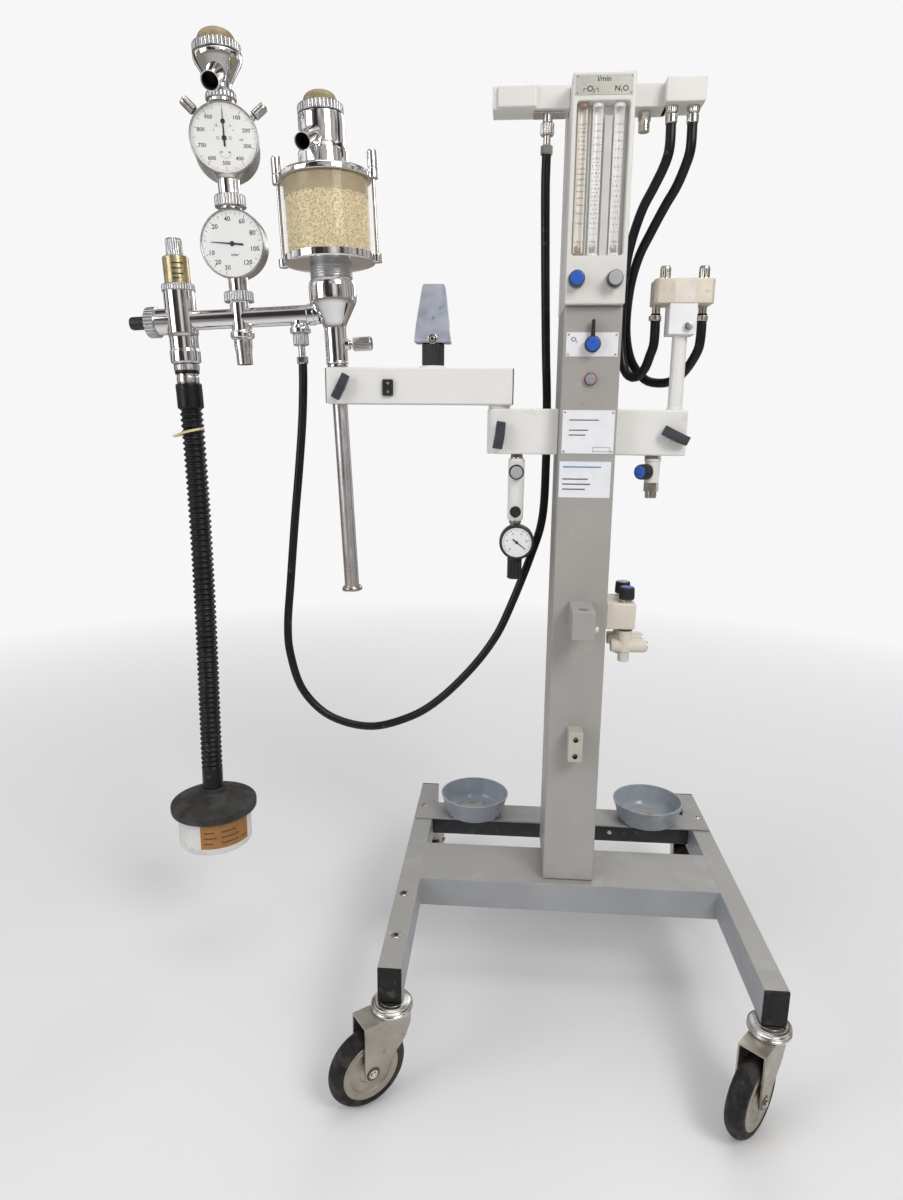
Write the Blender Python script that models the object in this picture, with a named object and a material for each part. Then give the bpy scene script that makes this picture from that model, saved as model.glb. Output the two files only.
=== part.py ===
"""Mobile anesthesia machine: column stand on casters, flowmeters, swing arm and circle breathing system."""
import math

import bmesh
import bpy
from mathutils import Matrix, Vector

# Metres.  X runs to the right of the column's middle plane, Y to the back, Z up from the floor.
# The machine's origin is on the floor under the middle of everything that is rigid.
ORIGIN_X = 0.2190
ORIGIN_Y = -0.0145
GAP = 0.0003

# Base frame
BASE_HALF_WIDTH = 0.300
LEG_WIDTH = 0.037
LEG_HEIGHT = 0.057
LEG_FRONT = -0.3067
LEG_BACK = 0.3174
FRAME_TOP = 0.218
CROSSBAR_DEPTH = 0.122
CROSSBAR_HEIGHT = 0.0547
LEG_BOTTOM = FRAME_TOP - LEG_HEIGHT

# Casters
WHEEL_RADIUS = 0.0625
WHEEL_WIDTH = 0.030
FORK_INSIDE = 0.036
FORK_SHEET = 0.0025
CASTER_X = 0.2795
CASTER_FRONT_Y = LEG_FRONT + 0.012
CASTER_BACK_Y = LEG_BACK - 0.012
CASTER_TRAIL = 0.044
CASTER_HEADING = {"front_left": 218, "front_right": 229, "rear_left": 85, "rear_right": 262}

# Shelf with two cups
TRAY_FRONT = 0.151
TRAY_BACK = 0.219
TRAY_THICKNESS = 0.004
CUP_X = 0.177
CUP_RADIUS = 0.069
CUP_HEIGHT = 0.044

# Column and what is fixed to it
COLUMN_HALF = 0.0443
COLUMN_FRONT = -0.047
COLUMN_BACK = 0.100
COLUMN_TOP = 1.1875
WALL = 0.003
HOUSING_HALF = 0.0447
HOUSING_FRONT = -0.060
HOUSING_BACK = 0.108
HOUSING_TOP = 1.500
WINDOW_HALF = 0.038
WINDOW_LOW = 1.256
WINDOW_HIGH = 1.4625
WINDOW_DEPTH = 0.024
TUBE_X = (-0.028, -0.0065, 0.0245)
TUBE_Y = -0.0475
TUBE_RADIUS = 0.0078
TUBE_BORE = 0.0042
FLOAT_Z = 1.262
FLOW_KNOB_Z = 1.222
SELECTOR_Z = 1.131
BUTTON_Z = 1.080
BRACKET_LOW = 0.964
BRACKET_HIGH = 1.036
BRACKET_HALF_DEPTH = 0.019
PIVOT_X = -0.1405
POST_X = 0.1405
BEAM_LOW = 1.470
BEAM_HIGH = 1.502
BEAM_CORE_FRONT, BEAM_CORE_BACK = -0.006, 0.024
BEAM_CORE_LOW, BEAM_CORE_HIGH = 1.474, 1.490
SIDE_VALVE_X = 0.079

# Swing arm
ARM_LEFT = -0.422
ARM_RIGHT = -0.118
ARM_HALF_DEPTH = 0.024
ARM_LOW = 1.0415
ARM_TOP = 1.0985
PIN_RADIUS = 0.010
HOLDER_X = -0.249

# Breathing system, in its own leaning frame: origin on the arm's top, local Z along the post
POST_FOOT_X = -0.406
LEAN = math.radians(-2.7)
PIPE_Z = 0.085
PIPE_RADIUS = 0.0152
GAUGE_X = -0.154
RELIEF_X = -0.2535
TEE_X = -0.0573
GLASS_LOW = 0.1705
GLASS_HIGH = 0.2785
GLASS_RADIUS = 0.0685
ROD_X = 0.0757
MANOMETER_Z = 0.196
VOLUMETER_Z = 0.347
VOLUMETER_TURN = 15
DIAL_RADIUS = 0.0525
VALVE_Z = 0.4166

# Hoses
FRESH_HOSE_RADIUS = 0.0070
MANIFOLD_HOSE_RADIUS = 0.0075
BREATHING_HOSE_RADIUS = 0.019
HOSE_STEP = 6
FILTER_X = -0.659

COLOURS = {
    "blue_grey": ((0.30, 0.32, 0.34), 0.45, 0.0),
    "column_grey": ((0.35, 0.34, 0.33), 0.50, 0.0),
    "cream": ((0.72, 0.69, 0.60), 0.40, 0.0),
    "white": ((0.80, 0.80, 0.78), 0.45, 0.0),
    "black": ((0.02, 0.02, 0.02), 0.55, 0.0),
    "rubber": ((0.015, 0.015, 0.016), 0.70, 0.0),
    "steel": ((0.55, 0.54, 0.50), 0.35, 1.0),
    "chrome": ((0.80, 0.80, 0.80), 0.08, 1.0),
    "glass": ((0.90, 0.90, 0.85), 0.05, 0.0),
    "blue": ((0.02, 0.10, 0.60), 0.40, 0.0),
    "grey": ((0.35, 0.36, 0.40), 0.50, 0.0),
    "tan": ((0.65, 0.45, 0.22), 0.90, 0.0),
}

X_AXIS = Vector((1, 0, 0))
Y_AXIS = Vector((0, 1, 0))
Z_AXIS = Vector((0, 0, 1))


def clear_scene():
    for thing in list(bpy.data.objects):
        bpy.data.objects.remove(thing)


def material(colour_name):
    found = bpy.data.materials.get(colour_name)
    if found:
        return found
    colour, roughness, metallic = COLOURS[colour_name]
    made = bpy.data.materials.new(colour_name)
    made.use_nodes = True
    shader = made.node_tree.nodes["Principled BSDF"]
    shader.inputs["Base Color"].default_value = (*colour, 1.0)
    shader.inputs["Roughness"].default_value = roughness
    shader.inputs["Metallic"].default_value = metallic
    return made


def empty(name, parent=None, location=(0, 0, 0), turn_y=0.0):
    guide = bpy.data.objects.new(name, None)
    bpy.context.scene.collection.objects.link(guide)
    guide.parent = parent
    guide.location = location
    guide.rotation_euler = (0, turn_y, 0)
    return guide


def from_bmesh(shape):
    bmesh.ops.recalc_face_normals(shape, faces=shape.faces)
    mesh = bpy.data.meshes.new("shape")
    shape.to_mesh(mesh)
    shape.free()
    thing = bpy.data.objects.new("shape", mesh)
    bpy.context.scene.collection.objects.link(thing)
    return thing


def block(low, high, bevel=0.0, steps=1):
    """A box between two corners, its edges rounded by bevel."""
    low, high = Vector(low), Vector(high)
    shape = bmesh.new()
    bmesh.ops.create_cube(shape, size=1.0)
    bmesh.ops.scale(shape, vec=high - low, verts=shape.verts)
    bmesh.ops.translate(shape, vec=(low + high) / 2, verts=shape.verts)
    if bevel:
        bmesh.ops.bevel(shape, geom=shape.edges[:], offset=bevel, segments=steps,
                        profile=0.5, affect="EDGES", clamp_overlap=True)
    return from_bmesh(shape)


def turned(profile, base=(0, 0, 0), axis=Z_AXIS, sides=14, ring=False):
    """A turned solid: (radius, height) pairs along an axis; a ring's profile closes on itself."""
    axis = Vector(axis).normalized()
    to_axis = Z_AXIS.rotation_difference(axis).to_matrix()
    shape = bmesh.new()
    loops = []
    for radius, height in profile:
        corners = []
        for step in range(sides):
            angle = 2 * math.pi * step / sides
            point = Vector((radius * math.cos(angle), radius * math.sin(angle), height))
            corners.append(shape.verts.new(Vector(base) + to_axis @ point))
        loops.append(corners)
    pairs = list(zip(loops, loops[1:]))
    if ring:
        pairs.append((loops[-1], loops[0]))
    else:
        shape.faces.new(loops[0])
        shape.faces.new(loops[-1])
    for lower, upper in pairs:
        for step in range(sides):
            after = (step + 1) % sides
            shape.faces.new((lower[step], lower[after], upper[after], upper[step]))
    return from_bmesh(shape)


def rod(start, end, radius, sides=14):
    """A plain cylinder from one point to another."""
    start, end = Vector(start), Vector(end)
    return turned([(radius, 0), (radius, (end - start).length)], start, end - start, sides)


def prism(outline, start, depth, axis=Y_AXIS):
    """A flat outline of (x, z) points, standing in the XZ plane and extruded along Y."""
    shape = bmesh.new()
    face = shape.faces.new([shape.verts.new((x, start, z)) for x, z in outline])
    swept = bmesh.ops.extrude_face_region(shape, geom=[face])
    moved = [item for item in swept["geom"] if isinstance(item, bmesh.types.BMVert)]
    bmesh.ops.translate(shape, vec=Vector(axis) * depth, verts=moved)
    return from_bmesh(shape)


def rounded_corners(half_width, low, high, radius):
    """A rectangle of (x, z) points, centred on x = 0, with a quarter circle at each corner."""
    outline = []
    corners = ((half_width - radius, high - radius), (radius - half_width, high - radius),
               (radius - half_width, low + radius), (half_width - radius, low + radius))
    for quarter, (x, z) in enumerate(corners):
        for step in range(4):
            angle = math.pi / 2 * (quarter + step / 3)
            outline.append((x + radius * math.cos(angle), z + radius * math.sin(angle)))
    return outline


def combine(base, others, operation):
    for other in others:
        change = base.modifiers.new("join", "BOOLEAN")
        change.operation = operation
        change.solver = "EXACT"
        change.object = other
        bpy.context.view_layer.update()
        graph = bpy.context.evaluated_depsgraph_get()
        result = bpy.data.meshes.new_from_object(base.evaluated_get(graph))
        base.modifiers.clear()
        base.data = result
        bpy.data.objects.remove(other)
    return base


def fuse(base, *others):
    return combine(base, others, "UNION")


def cut(base, *others):
    return combine(base, others, "DIFFERENCE")


def moved(thing, matrix):
    thing.data.transform(matrix)
    return thing


def turn_about(point, axis, degrees):
    point = Vector(point)
    rotation = Matrix.Rotation(math.radians(degrees), 4, axis)
    return Matrix.Translation(point) @ rotation @ Matrix.Translation(-point)


def node(name, thing, colour, parent, pivot=(0, 0, 0)):
    """Names a finished piece, colours it and puts its origin on its pivot."""
    pivot = Vector(pivot)
    thing.name = name
    thing.data.name = name
    thing.data.transform(Matrix.Translation(-pivot))
    thing.location = pivot
    thing.parent = parent
    thing.data.materials.clear()
    thing.data.materials.append(material(colour))
    thing.data.shade_smooth()
    thing.data.set_sharp_from_angle(angle=math.radians(35))
    return thing


def smooth_points(route, spacing):
    """Points a set distance apart on a smooth curve through the route's own points."""
    points = [Vector(point) for point in route]
    padded = [2 * points[0] - points[1], *points, 2 * points[-1] - points[-2]]
    dense = []
    for before, start, end, after in zip(padded, padded[1:], padded[2:], padded[3:]):
        for step in range(16):
            t = step / 16
            curve = 2 * start + (end - before) * t
            curve += (2 * before - 5 * start + 4 * end - after) * t ** 2
            curve += (3 * start - before - 3 * end + after) * t ** 3
            dense.append(curve / 2)
    dense.append(points[-1])
    length = sum((b - a).length for a, b in zip(dense, dense[1:]))
    count = max(2, round(length / spacing))
    picked = [dense[0]]
    travelled = 0.0
    for a, b in zip(dense, dense[1:]):
        travelled += (b - a).length
        if travelled >= length * len(picked) / count and len(picked) < count:
            picked.append(b)
    picked.append(dense[-1])
    return picked


def hose(name, route, radius, parent):
    """A hose: a round tube along a smooth curve."""
    path = bpy.data.curves.new(name, "CURVE")
    path.dimensions = "3D"
    path.bevel_depth = radius
    path.bevel_resolution = 2
    path.use_fill_caps = True
    spline = path.splines.new("POLY")
    points = smooth_points(route, radius * HOSE_STEP)
    spline.points.add(len(points) - 1)
    for place, point in zip(spline.points, points):
        place.co = (*point, 1.0)
    tube = bpy.data.objects.new(name, path)
    bpy.context.scene.collection.objects.link(tube)
    tube.parent = parent
    path.materials.append(material("rubber"))
    return tube


def base_frame(stand):
    frame = block((-BASE_HALF_WIDTH, LEG_FRONT, LEG_BOTTOM),
                  (-BASE_HALF_WIDTH + LEG_WIDTH, LEG_BACK, FRAME_TOP), 0.002)
    right_leg = block((BASE_HALF_WIDTH - LEG_WIDTH, LEG_FRONT, LEG_BOTTOM),
                      (BASE_HALF_WIDTH, LEG_BACK, FRAME_TOP), 0.002)
    reach = BASE_HALF_WIDTH - LEG_WIDTH + 0.004
    crossbar = block((-reach, -CROSSBAR_DEPTH / 2, FRAME_TOP - CROSSBAR_HEIGHT),
                     (reach, CROSSBAR_DEPTH / 2, FRAME_TOP - 0.0004), 0.001)
    fuse(frame, crossbar, right_leg)
    node("base_frame", frame, "blue_grey", stand)


def caster(place, x, y, stand):
    """A swivel caster: a pressed fork with its ring and axle, and a wheel that turns in it."""
    top = LEG_BOTTOM - GAP
    plate = 0.1450
    half = FORK_INSIDE / 2
    fork = turned([(0.030, plate), (0.032, plate + 0.003), (0.032, top - 0.007), (0.028, top - 0.005),
                   (0.028, top - 0.002), (0.020, top)], sides=16)
    cheek = [(0.024, plate), (0.026, plate - 0.028), (0.002, 0.082), (-CASTER_TRAIL + 0.011, 0.055),
             (-CASTER_TRAIL, 0.050), (-CASTER_TRAIL - 0.011, 0.055), (-CASTER_TRAIL - 0.013, 0.068),
             (-CASTER_TRAIL - 0.012, plate)]
    channel = prism(cheek, -half - FORK_SHEET, FORK_INSIDE + 2 * FORK_SHEET)
    inner = block((-0.2, -half, 0.0), (0.2, half, plate - FORK_SHEET))
    cut(channel, inner)
    axle = rod((-CASTER_TRAIL, -half - 0.007, WHEEL_RADIUS),
               (-CASTER_TRAIL, half + 0.007, WHEEL_RADIUS), 0.005, 10)
    fuse(fork, channel, axle)
    heading = Matrix.Rotation(math.radians(CASTER_HEADING[place] - 180), 4, "Z")
    there = Matrix.Translation((x, y, 0)) @ heading
    node(place + "_fork", moved(fork, there), "steel", stand, (x, y, plate))

    edge = WHEEL_WIDTH / 2
    wheel = turned([(0.0055, -0.0165), (0.012, -0.0165), (0.043, -0.012), (0.046, -edge),
                    (0.055, -edge), (WHEEL_RADIUS, -edge + 0.008), (WHEEL_RADIUS, edge - 0.008),
                    (0.055, edge), (0.046, edge), (0.043, 0.012), (0.012, 0.0165), (0.0055, 0.0165)],
                   (-CASTER_TRAIL, 0, WHEEL_RADIUS), Y_AXIS, 32, ring=True)
    hub = there @ Vector((-CASTER_TRAIL, 0, WHEEL_RADIUS))
    node(place + "_wheel", moved(wheel, there), "rubber", stand, hub)


def shelf(stand):
    tray = block((-BASE_HALF_WIDTH + 0.003, TRAY_FRONT, FRAME_TOP + GAP),
                 (BASE_HALF_WIDTH - 0.003, TRAY_BACK, FRAME_TOP + GAP + TRAY_THICKNESS), 0.001)
    node("cup_tray", tray, "blue_grey", stand)
    inside = BASE_HALF_WIDTH - LEG_WIDTH - GAP
    bar = block((-inside, 0.178, 0.172), (inside, 0.200, FRAME_TOP - GAP), 0.001)
    bolt = rod((0.103, 0.180, 0.190), (0.103, 0.174, 0.190), 0.005, 6)
    node("rear_tie_bar", fuse(bar, bolt), "black", stand)
    floor = FRAME_TOP + TRAY_THICKNESS + 2 * GAP
    for name, side in (("left_cup", -1), ("right_cup", 1)):
        cup = turned([(0.050, 0), (0.056, 0.003), (CUP_RADIUS - 0.001, CUP_HEIGHT - 0.004),
                      (CUP_RADIUS, CUP_HEIGHT), (CUP_RADIUS - 0.003, CUP_HEIGHT),
                      (0.0535, 0.006), (0.048, 0.003), (0.007, 0.003), (0.007, 0.006), (0.003, 0.006)],
                     (side * CUP_X, (TRAY_FRONT + TRAY_BACK) / 2, floor), sides=20)
        node(name, cup, "blue_grey", stand)


def column(stand):
    post = block((-COLUMN_HALF, COLUMN_FRONT, FRAME_TOP + GAP), (COLUMN_HALF, COLUMN_BACK, COLUMN_TOP), 0.003)
    hollow = block((-COLUMN_HALF + WALL, COLUMN_FRONT + WALL, FRAME_TOP - 0.01),
                   (COLUMN_HALF - WALL, COLUMN_BACK - WALL, COLUMN_TOP + 0.01))
    rest = block((-0.0185, -0.1286, 0.683), (0.0175, COLUMN_FRONT + 0.002, 0.7285), 0.001)
    stub = rod((0.016, -0.110, 0.697), (0.0245, -0.110, 0.697), 0.0045, 10)
    rest_hole = rod((-0.0005, -0.111, 0.700), (-0.0005, -0.111, 0.740), 0.0065, 12)
    terminal = block((-0.012, -0.0785, 0.4574), (0.0125, COLUMN_FRONT + 0.002, 0.510), 0.001)
    sockets = [rod((0, -0.0585, z), (0, -0.090, z), 0.0046, 12) for z in (0.4683, 0.4977)]
    button_hole = rod((0, COLUMN_FRONT - 0.01, BUTTON_Z), (0, COLUMN_FRONT + 0.01, BUTTON_Z), 0.0095, 12)
    cut(post, hollow, button_hole)
    fuse(post, rest, stub, terminal)
    cut(post, rest_hole, *sockets)
    node("column", post, "column_grey", stand)


def flowmeter(stand):
    housing = block((-HOUSING_HALF, HOUSING_FRONT, COLUMN_TOP + GAP),
                    (HOUSING_HALF, HOUSING_BACK, HOUSING_TOP), 0.003)
    back = HOUSING_FRONT + WINDOW_DEPTH
    window = prism(rounded_corners(WINDOW_HALF, WINDOW_LOW, WINDOW_HIGH, 0.005),
                   HOUSING_FRONT - 0.02, WINDOW_DEPTH + 0.02)
    passage = block((-HOUSING_HALF - 0.01, BEAM_CORE_FRONT - GAP, BEAM_CORE_LOW - GAP),
                    (HOUSING_HALF + 0.01, BEAM_CORE_BACK + GAP, BEAM_CORE_HIGH + GAP))
    node("flowmeter_housing", cut(housing, window, passage), "cream", stand)
    low, high = WINDOW_LOW + 0.001, WINDOW_HIGH - 0.001
    bank = block((-WINDOW_HALF + 0.006, back - 0.0050, low), (WINDOW_HALF - 0.006, back - 0.0010, high))
    for x in TUBE_X:
        tube = turned([(TUBE_BORE, low), (TUBE_RADIUS, low), (TUBE_RADIUS, high), (TUBE_BORE, high)],
                      (x, TUBE_Y, 0), sides=12, ring=True)
        fuse(bank, tube)
    node("flow_tube_bank", bank, "glass", stand)
    for name, x in zip(("oxygen_low_float", "oxygen_high_float", "nitrous_float"), TUBE_X):
        bobbin = turned([(0.0012, 0), (0.0034, 0.006), (0.0034, 0.010), (0.0012, 0.012)],
                        (x, TUBE_Y, FLOAT_Z), sides=10)
        node(name, bobbin, "steel", stand, (x, TUBE_Y, FLOAT_Z))
    for name, x in (("oxygen_flow_knob", -0.029), ("nitrous_flow_knob", 0.027)):
        knob = turned([(0.0130, 0), (0.0130, 0.003), (0.0115, 0.0035), (0.0115, 0.018), (0.0105, 0.020)],
                      (x, HOUSING_FRONT - GAP, FLOW_KNOB_Z), -Y_AXIS, 14)
        node(name, knob, "blue" if x < 0 else "grey", stand, (x, HOUSING_FRONT, FLOW_KNOB_Z))


def front_controls(stand):
    face = COLUMN_FRONT - 0.0018
    knob = turned([(0.0120, 0), (0.0120, 0.013), (0.0105, 0.015)], (0, face, SELECTOR_Z), -Y_AXIS, 14)
    stick = block((-0.0030, face - 0.011, SELECTOR_Z), (0.0030, face - 0.003, 1.1670), 0.001)
    node("selector_knob", fuse(knob, stick), "blue", stand, (0, face, SELECTOR_Z))
    button = turned([(0.0085, -0.010), (0.0085, 0.006), (0.0070, 0.008)],
                    (0, COLUMN_FRONT, BUTTON_Z), -Y_AXIS, 14)
    node("push_button", button, "grey", stand, (0, COLUMN_FRONT, BUTTON_Z))


def clamp_lever(name, centre, size, lean, stand):
    """A short bar on a stud; it turns on the stud to tighten a clamp."""
    x, face, z = centre
    width, length = size
    stud = rod((x, face - GAP, z), (x, face - 0.009, z), 0.0055, 10)
    bar = block((x - width / 2, face - 0.0185, z - length / 2), (x + width / 2, face - 0.007, z + length / 2), 0.0015)
    moved(bar, turn_about(centre, "Y", lean))
    node(name, fuse(stud, bar), "black", stand, (x, face, z))


def brackets(stand):
    low, high, depth = BRACKET_LOW, BRACKET_HIGH, BRACKET_HALF_DEPTH
    left = block((PIVOT_X, -depth, low), (-COLUMN_HALF - GAP, depth, high), 0.002)
    hub = turned([(depth - 0.002, low), (depth, low + 0.002), (depth, high - 0.002), (depth - 0.002, high)],
                 (PIVOT_X, 0, 0), sides=20)
    bore = rod((PIVOT_X, 0, 0.985), (PIVOT_X, 0, high + 0.01), PIN_RADIUS + GAP, 16)
    node("left_bracket", cut(fuse(left, hub), bore), "cream", stand)
    right = block((COLUMN_HALF + GAP, -depth, low), (POST_X + 0.006, depth, high), 0.002)
    end = block((POST_X - 0.004, -depth, low), (POST_X + 0.018, depth, high), 0.006, 2)
    node("right_bracket", fuse(right, end), "cream", stand)
    clamp_lever("left_clamp_lever", (-0.139, -depth, 0.994), (0.015, 0.037), 8, stand)
    clamp_lever("right_clamp_lever", (POST_X - 0.001, -depth, 0.9956), (0.015, 0.037), 115, stand)


def vacuum_valve(stand):
    x = -0.110
    valve = turned([(0.0105, 0.962), (0.0105, BRACKET_LOW - GAP)], (x, 0, 0), sides=6)
    body = turned([(0.012, 0.855), (0.0135, 0.862), (0.0135, 0.953), (0.012, 0.9565), (0.011, 0.963)],
                  (x, 0, 0), sides=14)
    plug = rod((x, 0, 0.870), (x, -0.019, 0.870), 0.0095, 12)
    neck = rod((x, 0, 0.836), (x, 0, 0.858), 0.009, 12)
    gauge = turned([(0.027, -0.010), (0.029, -0.007), (0.029, 0.013), (0.022, 0.019)],
                   (x + 0.0035, -0.010, 0.8195), Y_AXIS, 20)
    cylinder = turned([(0.0125, 0.7555), (0.0125, 0.800), (0.010, 0.810)], (x + 0.001, 0, 0), sides=14)
    fuse(valve, body, neck, plug, gauge, cylinder)
    node("vacuum_valve", valve, "cream", stand)
    face = -0.0140
    knob = turned([(0.0125, 0), (0.0125, 0.011), (0.0112, 0.0125)], (x, face, 0.935), -Y_AXIS, 14)
    node("vacuum_knob", knob, "grey", stand, (x, face, 0.935))


def outlet_valve(stand):
    x = 0.1110
    valve = turned([(0.0095, 0.895), (0.0095, 0.905), (0.0135, 0.906), (0.0135, 0.921), (0.0120, 0.922),
                    (0.0120, 0.9545), (0.0150, 0.9555), (0.0150, BRACKET_LOW - GAP)], (x, 0, 0), sides=14)
    node("outlet_valve", valve, "cream", stand)
    out = Vector((-0.72, -0.69, 0)).normalized()
    start = Vector((x, 0, 0.938)) + out * 0.0125
    knob = turned([(0.0090, 0), (0.0125, 0.004), (0.0125, 0.019), (0.0110, 0.021)], start, out, 20)
    node("outlet_knob", knob, "black", stand, start)


def manifold_post(stand):
    post = rod((POST_X, 0, BRACKET_HIGH + GAP), (POST_X, 0, 1.155), 0.0115, 16)
    head = block((0.1190, -0.020, 1.1495), (0.1610, 0.020, 1.1955), 0.001)
    manifold = block((0.0950, -0.021, 1.1950), (0.1860, 0.031, 1.2320), 0.003)
    extras = [rod((0.148, -0.018, 1.161), (0.148, -0.025, 1.161), 0.0065, 10)]
    for x in (0.112, 0.171):
        extras.append(turned([(0.0085, 1.230), (0.0085, 1.248), (0.0065, 1.252)], (x, -0.002, 0), sides=12))
    for x in (0.103, 0.175):
        extras.append(turned([(0.0065, 1.1835), (0.0065, 1.1970)], (x, 0.010, 0), sides=10))
    fuse(post, head, manifold, *extras)
    node("manifold_post", post, "cream", stand)


def side_valve(stand):
    low, high = 0.679, 0.7235
    valve = block((COLUMN_HALF + GAP, -0.036, low), (0.0935, 0.046, high), 0.003)
    others = []
    for y in (-0.020, 0.030):
        others.append(turned([(0.012, 0.638), (0.012, low + 0.002)], (SIDE_VALVE_X, y, 0), sides=14))
        others.append(rod((SIDE_VALVE_X, y, 0.621), (SIDE_VALVE_X, y, 0.640), 0.0095, 12))
        others.append(turned([(0.0105, 0), (0.0115, 0.002), (0.0115, 0.058), (0.0095, 0.0615)],
                             (0.0565, y, 0.648), X_AXIS, 14))
        others.append(rod((SIDE_VALVE_X, y, high - 0.002), (SIDE_VALVE_X, y, high + 0.0045), 0.009, 12))
    node("side_valve_block", fuse(valve, *others), "cream", stand)
    for name, y in (("side_knob_front", -0.020), ("side_knob_rear", 0.030)):
        foot = high + 0.0048
        knob = turned([(0.0115, 0), (0.0130, 0.002), (0.0130, 0.019), (0.0115, 0.0215)],
                      (SIDE_VALVE_X, y, foot), sides=14)
        node(name, knob, "black", stand, (SIDE_VALVE_X, y, foot))


def top_beam(stand):
    """Gas beam through the housing, with its cover, the distributor block and three fittings."""
    low, high = BEAM_LOW, BEAM_HIGH
    half = HOUSING_HALF + GAP
    parts = []
    for side, end in ((-1, 0.160), (1, 0.100)):
        parts.append(block(sorted_low(side * half, side * end, -0.012, low),
                           sorted_high(side * half, side * end, 0.030, high), 0.0015))
    cover = block((-0.152, -0.018, low + 0.001), (-0.0945, -0.010, high - 0.001), 0.0015)
    spreader = block((0.092, -0.030, low), (0.1490, 0.026, high + 0.001), 0.0015)
    core = block((-half - 0.006, BEAM_CORE_FRONT, BEAM_CORE_LOW), (half + 0.006, BEAM_CORE_BACK, BEAM_CORE_HIGH))
    outlet = [block((-0.099, -0.006, low - 0.003), (-0.050, 0.022, low + 0.001)),
              turned([(0.0062, 1.4125), (0.0070, 1.423), (0.0055, 1.424), (0.0055, 1.437), (0.0105, 1.438),
                      (0.0105, 1.455), (0.0075, 1.456), (0.0075, low)], (-0.077, 0.004, 0), sides=12)]
    inlet = turned([(0.0085, 1.4415), (0.0085, 1.455), (0.0105, 1.456), (0.0105, low + 0.002)],
                   (0.0675, 0.006, 0), sides=12)
    taps = [turned([(0.0072, 1.4530), (0.0072, 1.461), (0.0095, 1.462), (0.0095, low + 0.002)],
                   (x, -0.010, 0), sides=12) for x in (0.1045, 0.1355)]
    beam = parts[0]
    fuse(beam, cover, core, parts[1], spreader, *outlet, inlet, *taps)
    node("top_beam", beam, "cream", stand)


def sorted_low(x_a, x_b, y, z):
    return (min(x_a, x_b), y, z)


def sorted_high(x_a, x_b, y, z):
    return (max(x_a, x_b), y, z)


def swing_arm(stand):
    arm = block((ARM_LEFT, -ARM_HALF_DEPTH, ARM_LOW), (ARM_RIGHT, ARM_HALF_DEPTH, ARM_TOP), 0.003)
    pin = turned([(PIN_RADIUS, 0.988), (PIN_RADIUS, BRACKET_HIGH + GAP), (0.0175, BRACKET_HIGH + GAP),
                  (0.0175, ARM_LOW + 0.002)], (PIVOT_X, 0, 0), sides=16)
    boss = turned([(0.022, ARM_TOP - 0.002), (0.020, ARM_TOP + 0.003), (0.0175, ARM_TOP + 0.004)],
                  (HOLDER_X, 0, 0), sides=14)
    switch = block((-0.3290, -ARM_HALF_DEPTH - 0.006, 1.0540), (-0.3110, -ARM_HALF_DEPTH + 0.002, 1.0800), 0.0015)
    fuse(arm, pin, boss, switch)
    lean = turn_about((POST_FOOT_X, 0, ARM_TOP), "Y", math.degrees(LEAN))
    bore = moved(rod((POST_FOOT_X, 0, ARM_LOW - 0.03), (POST_FOOT_X, 0, ARM_TOP + 0.03), 0.0148, 14), lean)
    node("swing_arm", cut(arm, bore), "cream", stand, (PIVOT_X, 0, ARM_LOW))
    clamp_lever("arm_clamp_lever", (-0.3945, -ARM_HALF_DEPTH, 1.0680), (0.0145, 0.042), 27, stand)

    foot = ARM_TOP + 0.0043
    holder = turned([(0.0165, 0), (0.0180, 0.001), (0.0180, 0.033), (0.0160, 0.0345), (0.0160, 0.037)],
                    (HOLDER_X, 0, foot), sides=14)
    plate_low, plate_high = 1.1370, 1.2250
    plate = prism([(HOLDER_X - 0.0290, plate_low), (HOLDER_X + 0.0290, plate_low), (HOLDER_X + 0.0290, 1.166),
                   (HOLDER_X + 0.0200, plate_high), (HOLDER_X - 0.0155, plate_high),
                   (HOLDER_X - 0.0280, 1.166)], -0.0165, 0.010)
    bulk = prism([(HOLDER_X - 0.0285, plate_low), (HOLDER_X + 0.0285, plate_low),
                  (HOLDER_X + 0.0285, 1.1430), (HOLDER_X - 0.0285, 1.1430)], -0.018, 0.034)
    node("holder_paddle", fuse(holder, bulk, plate), "grey", stand, (HOLDER_X, 0, foot))


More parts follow.
